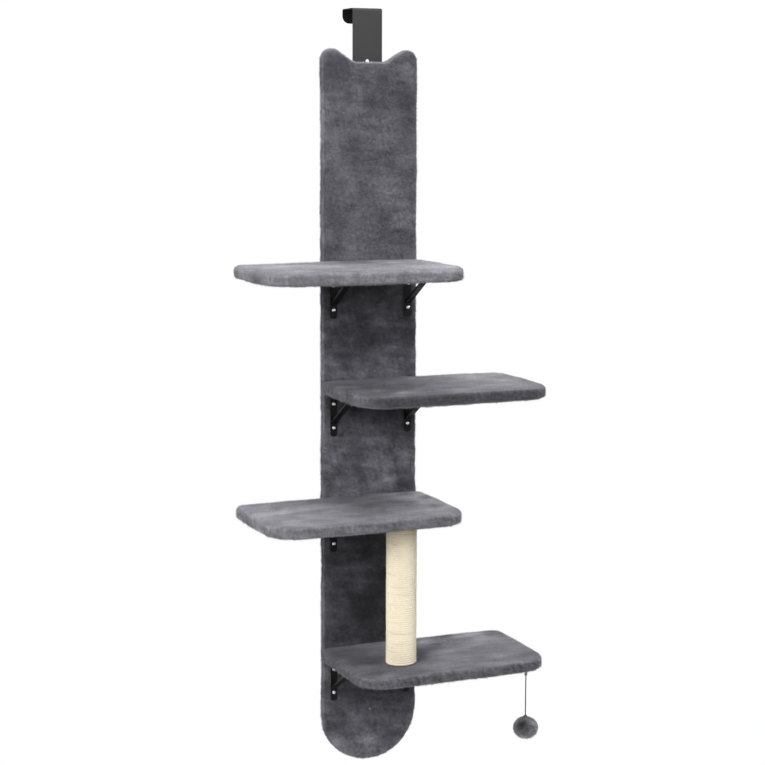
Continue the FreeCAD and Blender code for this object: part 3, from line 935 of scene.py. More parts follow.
@dataclass
class Pile:
    """Fibre tufts that stand on a plush skin.

    Args:
        per_area: Tufts on a square metre.
        length: Usual length of a tuft.
        width: Width of a tuft at its root.
        lean: How far a tuft leans, beside how far it stands.
        swirl: How much its way turns from patch to patch, in radians.
        hidden_share: Share of the tufts that is kept under a shelf or behind a panel.
        lay: Way in which it is brushed.
        seed: Number that fixes the random choices.
        bare: Place across and in depth of an upright axis, and the radius that it keeps bare.
        fringe: How much longer the tufts of a lower edge are, in clumps.
        tone: Painted light and shade, and the nap's own patches, from face to face.
        sorted_skin: Whether the skin's faces are put in order first, as a spun skin's come in any order.
    """

    per_area: float = 230000.0
    length: float = 4.6 * MM
    width: float = 1.1 * MM
    lean: float = 0.7
    swirl: float = 0.9
    hidden_share: float = 0.35
    lay: PileLay = PileLay.DOWN
    seed: int = 1
    bare: Triple = (0.0, 0.0, 0.0)
    fringe: float = 0.0
    tone: FaceLightAndNapTone = field(default_factory=FaceLightAndNapTone)
    sorted_skin: bool = False

    def triangles(self, skin: Mesh) -> Rows:
        """Corners of the triangles that a skin is made of.

        Args:
            skin: Mesh that the tufts stand on.

        Returns:
            Three numbers of points for each triangle.
        """
        if self.sorted_skin:
            rings = [list(face.vertices) for face in skin.polygons]
            starts = [ring.index(min(ring)) for ring in rings]
            rings = sorted(ring[start:] + ring[:start] for ring, start in zip(rings, starts))
            return np.array([(ring[0], *pair) for ring in rings for pair in zip(ring[1:], ring[2:])])
        skin.calc_loop_triangles()
        flat = np.zeros(len(skin.loop_triangles) * 3, np.int32)
        skin.loop_triangles.foreach_get("vertices", flat)
        return flat.reshape(-1, 3)

    def roots(self, skin: Mesh) -> tuple[Rows, Rows]:
        """Places and normals of the tufts, spread evenly over a skin.

        Args:
            skin: Mesh that they stand on.

        Returns:
            Their places and the normals there.
        """
        rng = np.random.default_rng(self.seed)
        corners = self.triangles(skin)
        points = Bench.points(skin)
        first, second, third = (points[corners[:, index]] for index in range(3))
        areas = np.linalg.norm(np.cross(second - first, third - first), axis=1) / 2
        reach = np.cumsum(areas)
        count = int(self.per_area * reach[-1])
        even = (np.arange(count) + rng.random(count)) / count
        chosen = np.minimum(np.searchsorted(reach, even * reach[-1]), len(areas) - 1)
        one = np.sqrt(rng.random(count))[:, None]
        two = rng.random(count)[:, None]
        shares = np.concatenate([1 - one, one * (1 - two), one * two], axis=1)[:, :, None]
        places = (points[corners[chosen]] * shares).sum(1)
        ways = unit((Bench.normals(skin)[corners[chosen]] * shares).sum(1))
        hidden = (ways[:, 2] < -0.8) | (ways[:, 1] > 0.8)
        kept = ~hidden | (rng.random(count) < self.hidden_share)
        kept &= np.hypot(places[:, 0] - self.bare[0], places[:, 1] - self.bare[1]) > self.bare[2]
        return places[kept], ways[kept]

    def frames(self, places: Rows, ways: Rows) -> Rows:
        """Axes and place of each tuft, leaning as the pile is brushed there.

        Args:
            places: Roots of the tufts.
            ways: Normals there.

        Returns:
            Frames for Bench.repeat.
        """
        rng = np.random.default_rng(self.seed + 1)
        count = len(places)
        brush = np.array(self.lay.value)
        flat = brush - ways * (ways @ brush)[:, None] + rng.normal(0, 0.12, (count, 3))
        flat = unit(flat - ways * (flat * ways).sum(1)[:, None])
        angle = self.swirl * SoftNoise(71, 0.07).at(places) + rng.normal(0, 0.25, count)
        slope = self.lean * (1 + 0.45 * SoftNoise(72, 0.05).at(places)) * rng.uniform(0.75, 1.25, count)
        turned = flat * np.cos(angle)[:, None] + np.cross(ways, flat) * np.sin(angle)[:, None]
        stem = unit(ways + turned * slope[:, None])
        across = unit(np.cross(stem, ways + rng.normal(0, 0.2, (count, 3))))
        hanging = np.clip(-ways[:, 2], 0, 1) * ramp(ways[:, 2], -0.97, 0.15)
        clump = 0.3 + np.clip(SoftNoise(73, 0.009).at(places), 0, 1)
        lengths = self.length * rng.uniform(0.7, 1.15, count) * (1 + self.fringe * hanging * clump)
        widths = self.width * rng.uniform(0.75, 1.25, count)[:, None]
        sunk = places - ways * self.width * 0.5
        return np.stack(
            [across * widths, np.cross(stem, across) * widths, stem * lengths[:, None], sunk], axis=1)

    def grow(self, skin: Piece, name: str, finish: Finish) -> Piece:
        """Covers a skin with tufts.

        Args:
            skin: Piece that the tufts stand on.
            name: Name of the new piece.
            finish: Finish of the tufts.

        Returns:
            The piece of tufts, with each tuft's height and its tone of painted light and shade and nap in
            attributes and its own cell in a map.
        """
        places, ways = self.roots(skin.data)
        # The skin keeps the same tone of painted light and shade and nap.
        Bench.hold(skin.data, "painted_light_and_nap_tone", self.tone.at(Bench.points(skin.data), Bench.normals(skin.data)))
        tuft = bmesh.new()
        bmesh.ops.create_cone(tuft, cap_ends=False, segments=3, radius1=0.5, radius2=0.0, depth=1.0)
        bmesh.ops.remove_doubles(tuft, verts=tuft.verts, dist=1e-5)
        bmesh.ops.translate(tuft, verts=tuft.verts, vec=(0, 0, 0.5))
        form = [vert.co.copy() for vert in tuft.verts]
        spots = np.array([(0.5 + 0.7 * co.x, 0.12 + 0.76 * co.z + 0.1 * co.y) for co in form])
        loops = np.array([vert.index for face in tuft.faces for vert in face.verts])
        mesh = Bench.repeat(tuft, self.frames(places, ways), name)
        count = len(places)
        Bench.hold(mesh, "pile_height", np.tile(np.array([co.z for co in form]), count))
        grain = np.random.default_rng(self.seed + 2).normal(1.0, self.tone.grain, count)
        shown = self.tone.at(places, ways) * np.clip(grain, 0.5, 1.5)
        Bench.hold(mesh, "painted_light_and_nap_tone", np.repeat(shown, len(form)))
        cells = math.ceil(math.sqrt(count))
        corner = np.stack([np.arange(count) % cells, np.arange(count) // cells], axis=1)
        chart = (corner[:, None] + spots[loops][None]) / cells
        mesh.uv_layers.new(name="OFBake").data.foreach_set("uv", chart.ravel().astype(np.float32))
        return Bench.place(name, mesh, finish)


@dataclass
class PlushSkin:
    """Steps that turn a plain form into soft, stretched plush.

    Args:
        voxel: Cell of the even mesh that it is given.
        swell: Pressure under the cloth.
        frames: How many frames the cloth takes to swell.
        stiffness: How the cloth withstands being drawn or pushed together.
        bending: How it withstands a bend.
        most: Furthest that it may move outward.
        sunk: Furthest that it may move inward.
        slip: Share of its moves along the surface that is kept.
        ripple: Depth of its soft unevenness.
        wave: Depth of the unevenness of its narrow faces.
        broad: Axis that its broad faces look along.
        seed: Number that fixes the unevenness.
    """

    voxel: float = 5.5 * MM
    swell: float = 4.0
    frames: int = 20
    stiffness: float = 20.0
    bending: float = 0.8
    most: float = 0.8 * MM
    sunk: float = 0.3 * MM
    slip: float = 0.4
    ripple: float = 0.6 * MM
    wave: float = 0.7 * MM
    broad: int = 1
    seed: int = 5

    def even_mesh(self, piece: Piece) -> None:
        """Gives a piece one closed, even mesh.

        Args:
            piece: Piece to work on.
        """
        remesh = piece.modifiers.new("even", "REMESH")
        remesh.mode = "VOXEL"
        remesh.voxel_size = self.voxel
        Bench.settle_modifiers(piece)

    def stretch(self, piece: Piece) -> None:
        """Lets the cover swell as cloth under pressure, held to its longest move.

        Args:
            piece: Piece to work on.
        """
        before = Bench.points(piece.data)
        cloth = piece.modifiers.new("cover", "CLOTH")
        cloth.settings.quality = 4
        cloth.settings.use_pressure = True
        cloth.settings.uniform_pressure_force = self.swell
        cloth.settings.effector_weights.gravity = 0.0
        cloth.settings.tension_stiffness = self.stiffness
        cloth.settings.compression_stiffness = self.stiffness
        cloth.settings.bending_stiffness = self.bending
        cloth.point_cache.frame_start = 1
        cloth.point_cache.frame_end = self.frames
        scene = bpy.context.scene
        for frame in range(1, self.frames + 1):
            scene.frame_set(frame)
        swollen = piece.evaluated_get(bpy.context.evaluated_depsgraph_get())
        moves = Bench.points(swollen.data) - before
        piece.modifiers.clear()
        scene.frame_set(1)
        ways = Bench.normals(piece.data)
        out = (moves * ways).sum(1)
        along = moves - ways * out[:, None]
        held = np.clip(self.most * np.tanh(out / self.most), -self.sunk, self.most)
        Bench.move_to(piece.data, before + ways * held[:, None] + self.slip * along)

    def ruffle(self, piece: Piece) -> None:
        """Adds a subdivision and the soft unevenness of a brushed cover.

        Args:
            piece: Piece to work on.
        """
        finer = piece.modifiers.new("finer", "SUBSURF")
        finer.levels = 1
        finer.render_levels = 1
        Bench.settle_modifiers(piece)
        points = Bench.points(piece.data)
        normals = Bench.normals(piece.data)
        flat = self.broad == 2
        sizes = (0.055, 0.02, 0.008, 0.013 if flat else 0.028)
        wide, close, fine, bulge = (
            SoftNoise(self.seed + index, size).at(points) for index, size in enumerate(sizes))
        narrow = 1 - normals[:, self.broad] ** 2
        if flat:
            narrow *= 0.35 + np.clip(-2 * normals[:, 2], 0, 1)
        depth = self.ripple * (0.7 * wide + 0.45 * close + 0.25 * fine)
        depth += self.wave * narrow * (0.7 * bulge + 0.4 * fine)
        Bench.move_to(piece.data, points + normals * depth[:, None])


def dress(piece: Piece, body: Body, slot: Slot, *nodes: str) -> Piece:
    """Joins a piece to the frame and reports it.

    Args:
        piece: Finished piece.
        body: Body that it rides on.
        slot: Material slot of the record that it stands for; not used.
        nodes: Solids of the frame that it stands for.

    Returns:
        The piece.
    """
    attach(piece, body.value)
    if nodes:
        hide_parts(*nodes)
    faces = len(piece.data.polygons) if piece.type == "MESH" else 0
    LOG.info("%s: %d faces, rides on %s", piece.name, faces, body.value)
    return piece


@dataclass
class Studio:
    """Camera at the photograph's angle, soft lamps, white surround and a pale floor.

    Args:
        eye: Place of the camera.
        yaw: Turn of its view to the right.
        pitch: Turn of its view downward.
        roll: Turn about its view.
        focal_pixels: Focal length in pixels of the photograph.
        sensor: Width of its sensor in millimetres.
        view_end: How far it sees.
        floor_size: Width and depth of the floor.
        floor_middle: Middle of the floor.
        surround: Strength of the surround's light.
        target: Point that the lamps face.
        lamps: Name, place, size and level of each lamp.
    """

    eye: Triple = (-1.6394, -4.0393, -0.2517)
    yaw: float = math.radians(22.73)
    pitch: float = math.radians(7.97)
    roll: float = math.radians(0.14)
    focal_pixels: float = 1868.53
    sensor: float = 36.0
    view_end: float = 60.0
    floor_size: Triple = (4.4, 4.0, 1.0)
    floor_middle: Triple = (0.0, -1.3, -2.3)
    surround: float = 0.12
    target: Triple = (0.0, -0.15, -0.9)
    lamps: tuple[tuple[str, Triple, float, float], ...] = (
        ("key", (-1.6, -1.6, 0.3), 1.0, 0.44), ("wide", (-2.6, -2.6, 0.2), 1.6, 0.5),
        ("top", (-0.4, -0.9, 1.4), 0.8, 0.66), ("top_right", (0.7, -0.7, 1.2), 1.0, 0.45),
        ("right", (2.4, -1.2, 0.2), 1.4, 0.62))

    def camera(self) -> None:
        """Makes the camera and makes it the scene's."""
        flat = math.cos(self.pitch)
        ahead = Vector((math.sin(self.yaw) * flat, math.cos(self.yaw) * flat, -math.sin(self.pitch)))
        right = Vector((math.cos(self.yaw), -math.sin(self.yaw), 0.0))
        right = Matrix.Rotation(-self.roll, 3, ahead) @ right
        lens = bpy.data.cameras.new("camera")
        lens.sensor_width = self.sensor
        lens.lens = self.sensor * self.focal_pixels / PHOTO_SIDE
        lens.clip_end = self.view_end
        camera = Bench.show("camera", lens)
        turn = Matrix((right, right.cross(ahead), -ahead)).transposed()
        camera.matrix_world = Matrix.Translation(self.eye) @ turn.to_4x4()
        bpy.context.scene.camera = camera

    def lamp(self, name: str, place: Triple, size: float, level: float) -> None:
        """Square soft lamp whose light at the target has a level of 1 where a colour shows as written.

        Args:
            name: Name of the lamp.
            place: Its place.
            size: Length of its sides.
            level: Level of its light.
        """
        light = bpy.data.lights.new(name, "AREA")
        light.size = size
        reach = Vector(self.target) - Vector(place)
        light.energy = level * math.pi ** 2 * reach.length_squared
        turn = reach.to_track_quat("-Z", "Y").to_matrix().to_4x4()
        Bench.show(name, light).matrix_world = Matrix.Translation(place) @ turn

    def world(self) -> None:
        """White surround to look at, and a softer one for light."""
        world = bpy.data.worlds.new("surround")
        bpy.context.scene.world = world
        world.use_nodes = True
        bench = NodeBench(world.node_tree)
        rays = bench.add("ShaderNodeLightPath").outputs
        seen = bench.math("MAXIMUM", rays["Is Camera Ray"], rays["Is Glossy Ray"])
        seen = bench.math("MAXIMUM", seen, rays["Is Transmission Ray"])
        ground = world.node_tree.nodes["Background"].inputs
        bench.feed(ground["Color"], (1.0, 1.0, 1.0, 1.0))
        bench.feed(ground["Strength"], bench.spread(seen, 0.0, 1.0, self.surround, 1.0))

    def floor(self) -> None:
        """Pale floor below the object, ending short of the main view."""
        shape = bmesh.new()
        bmesh.ops.create_grid(shape, x_segments=1, y_segments=1, size=0.5)
        bmesh.ops.scale(shape, verts=shape.verts, vec=self.floor_size)
        bmesh.ops.translate(shape, verts=shape.verts, vec=self.floor_middle)
        Bench.place("floor", Bench.mesh_of(shape, "floor", False), FLOOR_PAINT)

    def build(self) -> None:
        """Sets the whole stage."""
        bpy.context.scene.view_settings.view_transform = "Standard"
        self.camera()
        self.world()
        for lamp in self.lamps:
            self.lamp(*lamp)
        self.floor()
        LOG.info("studio is set")


@dataclass
class Toy:
    """Plush ball on a cord.

    Args:
        cord_diameter: Thickness of the cord with its fuzz.
        cord_stops: Where the points of its route lie, as shares of its length.
        ball_inset: How far the skin lies inside the solid ball.
        ball_rise: Height of the ball's middle over its foot, beside half its width.
        ball_width: How much wider than tall the skin is.
        pleats: Folds round the neck.
        neck_start: Share of the height where the neck is drawn out.
        neck_span: Share of the height over which it rises.
        neck_height: How far it reaches up to the cord.
        neck_bare: Radius that the pile leaves free round the neck.
        lopsided: How far the ball hangs to the right of its neck.
        patches: Middle, reach and gain of zones painted paler or darker, in millimetres: painted light on
            the ball's underside and right side, a darker spot at the upper left and a darker top of the
            neck.
        cord: The cord, once it is laid.
        hung: Pieces that hang on it, once they are made.
    """

    cord_diameter: float = 2.5 * MM
    cord_stops: tuple[float, ...] = (1.0, 0.87, 0.5, 0.13, 0.0)
    ball_inset: float = 3.4 * MM
    ball_rise: float = 0.93
    ball_width: float = 1.09
    pleats: int = 11
    neck_start: float = 0.862
    neck_span: float = 0.01
    neck_height: float = 7.6 * MM
    neck_bare: float = 4.0 * MM
    lopsided: float = 0.8 * MM
    # Painted light under the ball and on its right; a darker spot at the upper left and a darker neck top.
    patches: tuple[tuple[Triple, float, float], ...] = (
        ((-19, -14, 15), 16, 0.02), ((0, -14, -22), 17, 3.4), ((20, -16, -2), 14, 1.8),
        ((0, 0, 30), 6, 0.15))
    cord: Optional[Piece] = None
    hung: Sequence[Piece] = ()

    def build_cord(self) -> None:
        """Lays the cord along its route, from the knot to the ball's neck."""
        low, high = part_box("toy_cord")
        centre = (low + high) / 2
        curve = bpy.data.curves.new("toy_cord_yarn", "CURVE")
        curve.dimensions = "3D"
        curve.bevel_depth = self.cord_diameter / 2
        curve.bevel_resolution = 3
        curve.use_fill_caps = True
        run = curve.splines.new("NURBS")
        run.points.add(len(self.cord_stops) - 1)
        for point, share in zip(run.points, self.cord_stops):
            point.co = (centre.x, centre.y, low.z + share * (high.z - low.z), 1.0)
        run.order_u = 3
        run.use_endpoint_u = True
        curve.materials.append(CORD_YARN.material())
        self.cord = dress(Bench.show("toy_cord_yarn", curve), Body.TOY, Slot.CORD, "toy_cord")

    def build_ball(self) -> None:
        """Gathered ball: pleats drawn in to its neck, then long plush."""
        low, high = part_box("toy_ball")
        centre = (low + high) / 2
        half = (high.x - low.x) / 2
        middle = Vector((centre.x, centre.y, low.z + half * self.ball_rise))
        shape = bmesh.new()
        bmesh.ops.create_icosphere(shape, subdivisions=5, radius=half - self.ball_inset)
        bmesh.ops.translate(shape, verts=shape.verts, vec=middle)
        ball = Bench.place("toy_ball_plush", Bench.mesh_of(shape, "toy_ball_plush"), BALL_PLUSH)
        points = Bench.points(ball.data) - np.array(middle)
        around = np.arctan2(points[:, 1], points[:, 0])
        rise = np.clip(points[:, 2] / half, -1, 1)
        drawn = ramp(rise, 0.2, 0.75) ** 2
        points *= (1 + 0.05 * drawn * np.cos(self.pleats * around + 2.0 * rise))[:, None]
        points *= (1 + 0.035 * SoftNoise(31, 0.03).at(points))[:, None]
        neck = ramp(rise, self.neck_start, self.neck_span)
        points[:, :2] *= self.ball_width
        points[:, 2] += self.neck_height * neck
        points[:, 0] += self.lopsided * (1 - neck)
        Bench.move_to(ball.data, points + np.array(middle))
        dress(ball, Body.TOY, Slot.BALL, "toy_ball")
        zones = [
            LightShadeAndNapZone(tuple(middle + Vector(away) * MM), (reach * MM,) * 3, gain, True)
            for away, reach, gain in self.patches]
        pile = Pile(
            per_area=800000.0, length=4.2 * MM, lean=0.8, swirl=2.4, seed=33,
            bare=(centre.x, centre.y, self.neck_bare),
            tone=FaceLightAndNapTone(mottle=0.25, speckle=0.2, grain=0.2, zones=zones))
        self.hung = [ball, dress(pile.grow(ball, "toy_ball_pile", BALL_PLUSH), Body.TOY, Slot.BALL)]


@dataclass
class Backboard:
    """Three plush panels with ears, a round foot and a hem at the back.

    Args:
        inset: How far the skin lies inside the outline of the solids.
        front_inset: How far it lies inside their front.
        dip: Height of the edge between the ears.
        ear_top: Height of the ears.
        dip_half: Half the width of the dip at its bottom.
        ear_half: Where the inner side of an ear ends.
        dip_radius: Turn of the dip's corners.
        ear_radii: Turns of an ear's inner and outer corner.
        front_round: Turn of the front edge.
        hem_width: Width of the hem at the back.
        hem_radius: Turn of the hem's upper corners.
        hem_lap: How far before the core's back the hem begins.
        hem_sunk: How far its back lies inside that of the solids.
        slab_short: How far before the core's back the front part ends.
        strap_half: Half the width that the strap needs.
        strap_run: How far the hem takes to rise beside the strap.
        strap_bed: How far before the core's back it is pressed under the strap.
        flare: How far the edges stand out at a seam.
        flare_reach: How far up and down they do.
        flare_half: Half the width where they stand out in full.
        flare_share: Share of that half over which they begin to.
        foot_start: Height where the foot begins to swell.
        foot_run: How far it takes to swell.
        foot_swell: How far it swells.
        mottles: Depth of the patches on each panel.
        patches: Place across and up, reach across and up, and gain of zones painted paler or darker: painted
            shadow below the shelves, painted light lower in the gaps, a lighter strip down the right edge,
            and nap brushed another way on the upper panel.
        patch_depth: Their place and reach in depth.
    """

    inset: float = -0.8 * MM
    front_inset: float = 1.2 * MM
    dip: float = -121.0 * MM
    ear_top: float = -92.0 * MM
    dip_half: float = 37.0 * MM
    ear_half: float = 86.0 * MM
    dip_radius: float = 24.0 * MM
    ear_radii: tuple[float, float] = (18.0 * MM, 22.0 * MM)
    front_round: float = 6.0 * MM
    hem_width: float = 28.0 * MM
    hem_radius: float = 10.0 * MM
    hem_lap: float = 3.0 * MM
    hem_sunk: float = 0.8 * MM
    slab_short: float = 1.2 * MM
    strap_half: float = 37.0 * MM
    strap_run: float = 4.0 * MM
    strap_bed: float = 0.6 * MM
    flare: float = 2.6 * MM
    flare_reach: float = 22.0 * MM
    flare_half: float = 115.0 * MM
    flare_share: float = 0.2
    foot_start: float = -1540.0 * MM
    foot_run: float = 90.0 * MM
    foot_swell: float = 1.8 * MM
    mottles: Triple = (0.08, 0.24, 0.2)
    # Zones on the upper panel are nap brushed another way; below the shelves, gains under 1 paint each
    # shelf's shadow on the board and gains over 1 paint the light lower in the gaps; one paints a lighter
    # strip down the right edge.
    patches: tuple[Patch, ...] = (
        (0.07, -0.15, 0.07, 0.09, 0.66), (-0.06, -0.12, 0.06, 0.07, 0.7), (-0.08, -0.24, 0.03, 0.025, 0.75),
        (0.10, -0.28, 0.03, 0.07, 0.7), (0.0, -0.20, 0.16, 0.022, 0.8), (0.0, -0.75, 0.16, 0.025, 0.68),
        (0.09, -1.10, 0.05, 0.03, 1.45), (-0.08, -1.30, 0.05, 0.03, 1.5), (-0.05, -1.44, 0.1, 0.04, 0.7),
        (0.1165, -0.9, 0.007, 5.0, 1.5), (0.0, -0.90, 0.16, 0.04, 0.4), (0.0, -1.06, 0.16, 0.09, 2.05),
        (0.03, -0.81, 0.13, 0.04, 1.75), (0.03, -1.34, 0.13, 0.18, 0.36), (0.04, -1.57, 0.12, 0.05, 0.5),
        (0.0, -1.74, 0.16, 0.07, 2.4))
    patch_depth: tuple[float, float] = (-0.05, 0.1)

    def outline(self, half: float, bottom: float) -> list[Vector]:
        """Front outline of the skin.

        Args:
            half: Half the board's width over the pile.
            bottom: Height of the foot.

        Returns:
            Points across and up.
        """
        side = half - self.inset
        foot = bottom + self.inset
        top = self.ear_top - self.inset
        dip = self.dip - self.inset
        inner, outer = self.ear_radii
        return Bench.rounded_loop([
            (-self.dip_half, dip, self.dip_radius), (self.dip_half, dip, self.dip_radius),
            (self.ear_half, top, inner), (side, top, outer - self.inset),
            (side, foot, side), (-side, foot, side),
            (-side, top, outer - self.inset), (-self.ear_half, top, inner)], 9)

    def hem_ring(self, outer: list[Vector], half: float, bottom: float, front: float, back: float) -> Shape:
        """Hem that is folded round the edge and pressed flat on the back.

        Args:
            outer: Outline of the cover.
            half: Half the board's width over the pile.
            bottom: Height of the foot.
            front: Place of its front in depth.
            back: Place of its back in depth.

        Returns:
            The hem.
        """
        inside = half - self.hem_width
        top = self.dip - self.hem_width
        foot = bottom + self.hem_width
        inner = Bench.rounded_loop([
            (-inside, top, self.hem_radius), (inside, top, self.hem_radius),
            (inside, foot, inside), (-inside, foot, inside)], 16)
        shape = bmesh.new()
        for loop in (outer, inner):
            ring = [shape.verts.new((point.x, back, point.y)) for point in loop]
            for index, vert in enumerate(ring):
                shape.edges.new((ring[index - 1], vert))
        bmesh.ops.bridge_loops(shape, edges=shape.edges[:])
        return Bench.thicken(shape, (0, front - back, 0))

    def whole(self) -> Shape:
        """Whole cover of the board, before it is parted at its seams.

        Returns:
            The cover.
        """
        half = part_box("middle_panel_cover")[1].x
        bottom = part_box("lower_panel_cover")[0].z
        low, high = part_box("upper_panel_cover")
        core_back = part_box("upper_panel_core")[1].y
        front = low.y + self.front_inset
        loop = self.outline(half, bottom)
        deep = core_back - self.slab_short - front
        slab = Bench.plate([Vector((p.x, front, p.y)) for p in loop], (0, deep, 0))
        Bench.soften(slab, lambda edge: all(v.co.y < front + MM for v in edge.verts), self.front_round)
        hem = self.hem_ring(loop, half, bottom, core_back - self.hem_lap, high.y - self.hem_sunk)
        return Bench.join([slab, hem])

    def panel(self, name: str) -> Shape:
        """Cover between two seams, closed where it is parted.

        Args:
            name: Name of the panel.

        Returns:
            The cover of that panel.
        """
        low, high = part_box(name + "_cover")
        shape = self.whole()
        for height, up in ((low.z, -1), (high.z, 1)):
            everything = shape.verts[:] + shape.edges[:] + shape.faces[:]
            cut = bmesh.ops.bisect_plane(
                shape, geom=everything, plane_co=(0, 0, height), plane_no=(0, 0, up), clear_outer=True)
            rim = [part for part in cut["geom_cut"] if isinstance(part, bmesh.types.BMEdge)]
            if rim:
                bmesh.ops.holes_fill(shape, edges=rim, sides=0)
        return shape

    def flare_out(self, mesh: Mesh, seams: Sequence[float]) -> None:
        """Lets the cut edges of the cover stand out a little beside each seam.

        Args:
            mesh: Mesh of a panel.
            seams: Heights of the seams.
        """
        points = Bench.points(mesh)
        share = ramp(np.abs(points[:, 0]) / self.flare_half, 1 - self.flare_share, self.flare_share)
        for seam in seams:
            near = np.exp(-((points[:, 2] - seam) / self.flare_reach) ** 2)
            points[:, 0] += np.sign(points[:, 0]) * self.flare * share * near
        Bench.move_to(mesh, points)

    def swell_foot(self, mesh: Mesh) -> None:
        """Lets the plush stand fuller round the edge of the foot.

        Args:
            mesh: Mesh of a panel.
        """
        points = Bench.points(mesh)
        normals = Bench.normals(mesh)
        share = ramp(-points[:, 2], -self.foot_start, self.foot_run) * (1 - normals[:, 1] ** 2)
        Bench.move_to(mesh, points + normals * (self.foot_swell * share)[:, None])

    def lay_on_strap(self, mesh: Mesh) -> None:
        """Presses the hem flat where the strap runs over it.

        Args:
            mesh: Mesh of a panel.
        """
        points = Bench.points(mesh)
        over = ramp(-np.abs(points[:, 0]), -self.strap_half - self.strap_run, self.strap_run)
        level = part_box("upper_panel_core")[1].y - self.strap_bed
        points[:, 1] -= over * np.maximum(points[:, 1] - level, 0)
        Bench.move_to(mesh, points)

    def build(self) -> None:
        """Makes the three panels with their pile."""
        seams = [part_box("upper_panel_cover")[0].z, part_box("middle_panel_cover")[0].z]
        deep, thick = self.patch_depth
        zones = [
            LightShadeAndNapZone((across, deep, up), (wide, thick, tall), gain)
            for across, up, wide, tall, gain in self.patches]
        for index, name in enumerate(PANELS):
            mesh = Bench.mesh_of(self.panel(name), name + "_plush")
            piece = Bench.place(name + "_plush", mesh, PANEL_PLUSH)
            soft = PlushSkin(seed=11 + 3 * index)
            soft.even_mesh(piece)
            soft.ruffle(piece)
            self.flare_out(piece.data, seams)
            self.swell_foot(piece.data)
            if index == 0:
                self.lay_on_strap(piece.data)
            dress(piece, Body.CLIMBER, Slot.PLUSH, name + "_cover")
            # Face tone: painted light on upward faces, on the door-side hem and on the narrow edges, painted
            # light and shade in zones, and random patches, clumps and strokes.
            tone = FaceLightAndNapTone(
                top=1.5, back=2.6, side=(1.9, 1.9), mottle=self.mottles[index], speckle=0.16, strokes=0.12,
                grain=0.16, zones=zones)
            pile = Pile(seed=40 + index, tone=tone)
            dress(pile.grow(piece, name + "_pile", PANEL_PLUSH), Body.CLIMBER, Slot.PLUSH)


@dataclass(frozen=True)
class ShelfLook:
    """How the nap of one shelf lies, and the light and shade painted on it.

    Args:
        front: Share of the colour that its front shows, at the left and at the right end: painted light and
            shade, partly the nap.
        left: Share that its left end shows: painted light.
        speckle: Depth of the clumps on its edges.
        strokes: Depth of the brush strokes on its top.
        tight: How sharply the sleeve is drawn over its front edge.
        patches: Place across and in depth, reach across and in depth, and gain of zones painted paler or
            darker on its top: painted shadow of the shelf above, painted light, and nap brushed another way.
    """

    front: tuple[float, float]
    left: float
    speckle: float
    strokes: float
    tight: float
    patches: tuple[Patch, ...]


# Per shelf: painted light and shade on its front, its left end and in zones on its top, among them the
# painted shadow of the shelf above on the left of the second and the fourth.
SHELF_LOOKS = (
    ShelfLook((0.9, 1.65), 1.25, 0.18, 0.05, 2.8, (
        (0.12, -0.2, 0.12, 0.2, 1.35), (-0.02, -0.10, 0.11, 0.08, 0.48), (-0.28, -0.14, 0.10, 0.10, 1.35))),
    ShelfLook((0.34, 0.4), 0.72, 0.3, 0.1, 2.8, (
        (-0.07, -0.2, 0.15, 0.2, 0.62), (-0.03, -0.31, 0.18, 0.045, 0.7), (0.22, -0.09, 0.12, 0.07, 1.4),
        (0.0, -0.07, 0.07, 0.03, 0.75))),
    ShelfLook((1.0, 1.15), 1.6, 0.22, 0.1, 2.2, (
        (-0.28, -0.12, 0.12, 0.13, 2.0), (-0.03, -0.14, 0.1, 0.1, 0.74), (0.10, -0.13, 0.06, 0.13, 2.6),
        (-0.15, -0.29, 0.08, 0.04, 0.82))),
    ShelfLook((0.85, 0.75), 0.85, 0.3, 0.12, 1.4, (
        (-0.07, -0.15, 0.1, 0.14, 0.66), (0.2, -0.14, 0.16, 0.14, 1.3), (-0.03, -0.31, 0.13, 0.05, 0.6),
        (0.2, -0.075, 0.13, 0.05, 1.9), (0.28, -0.26, 0.06, 0.06, 0.75), (0.11, -0.14, 0.06, 0.06, 1.6))))


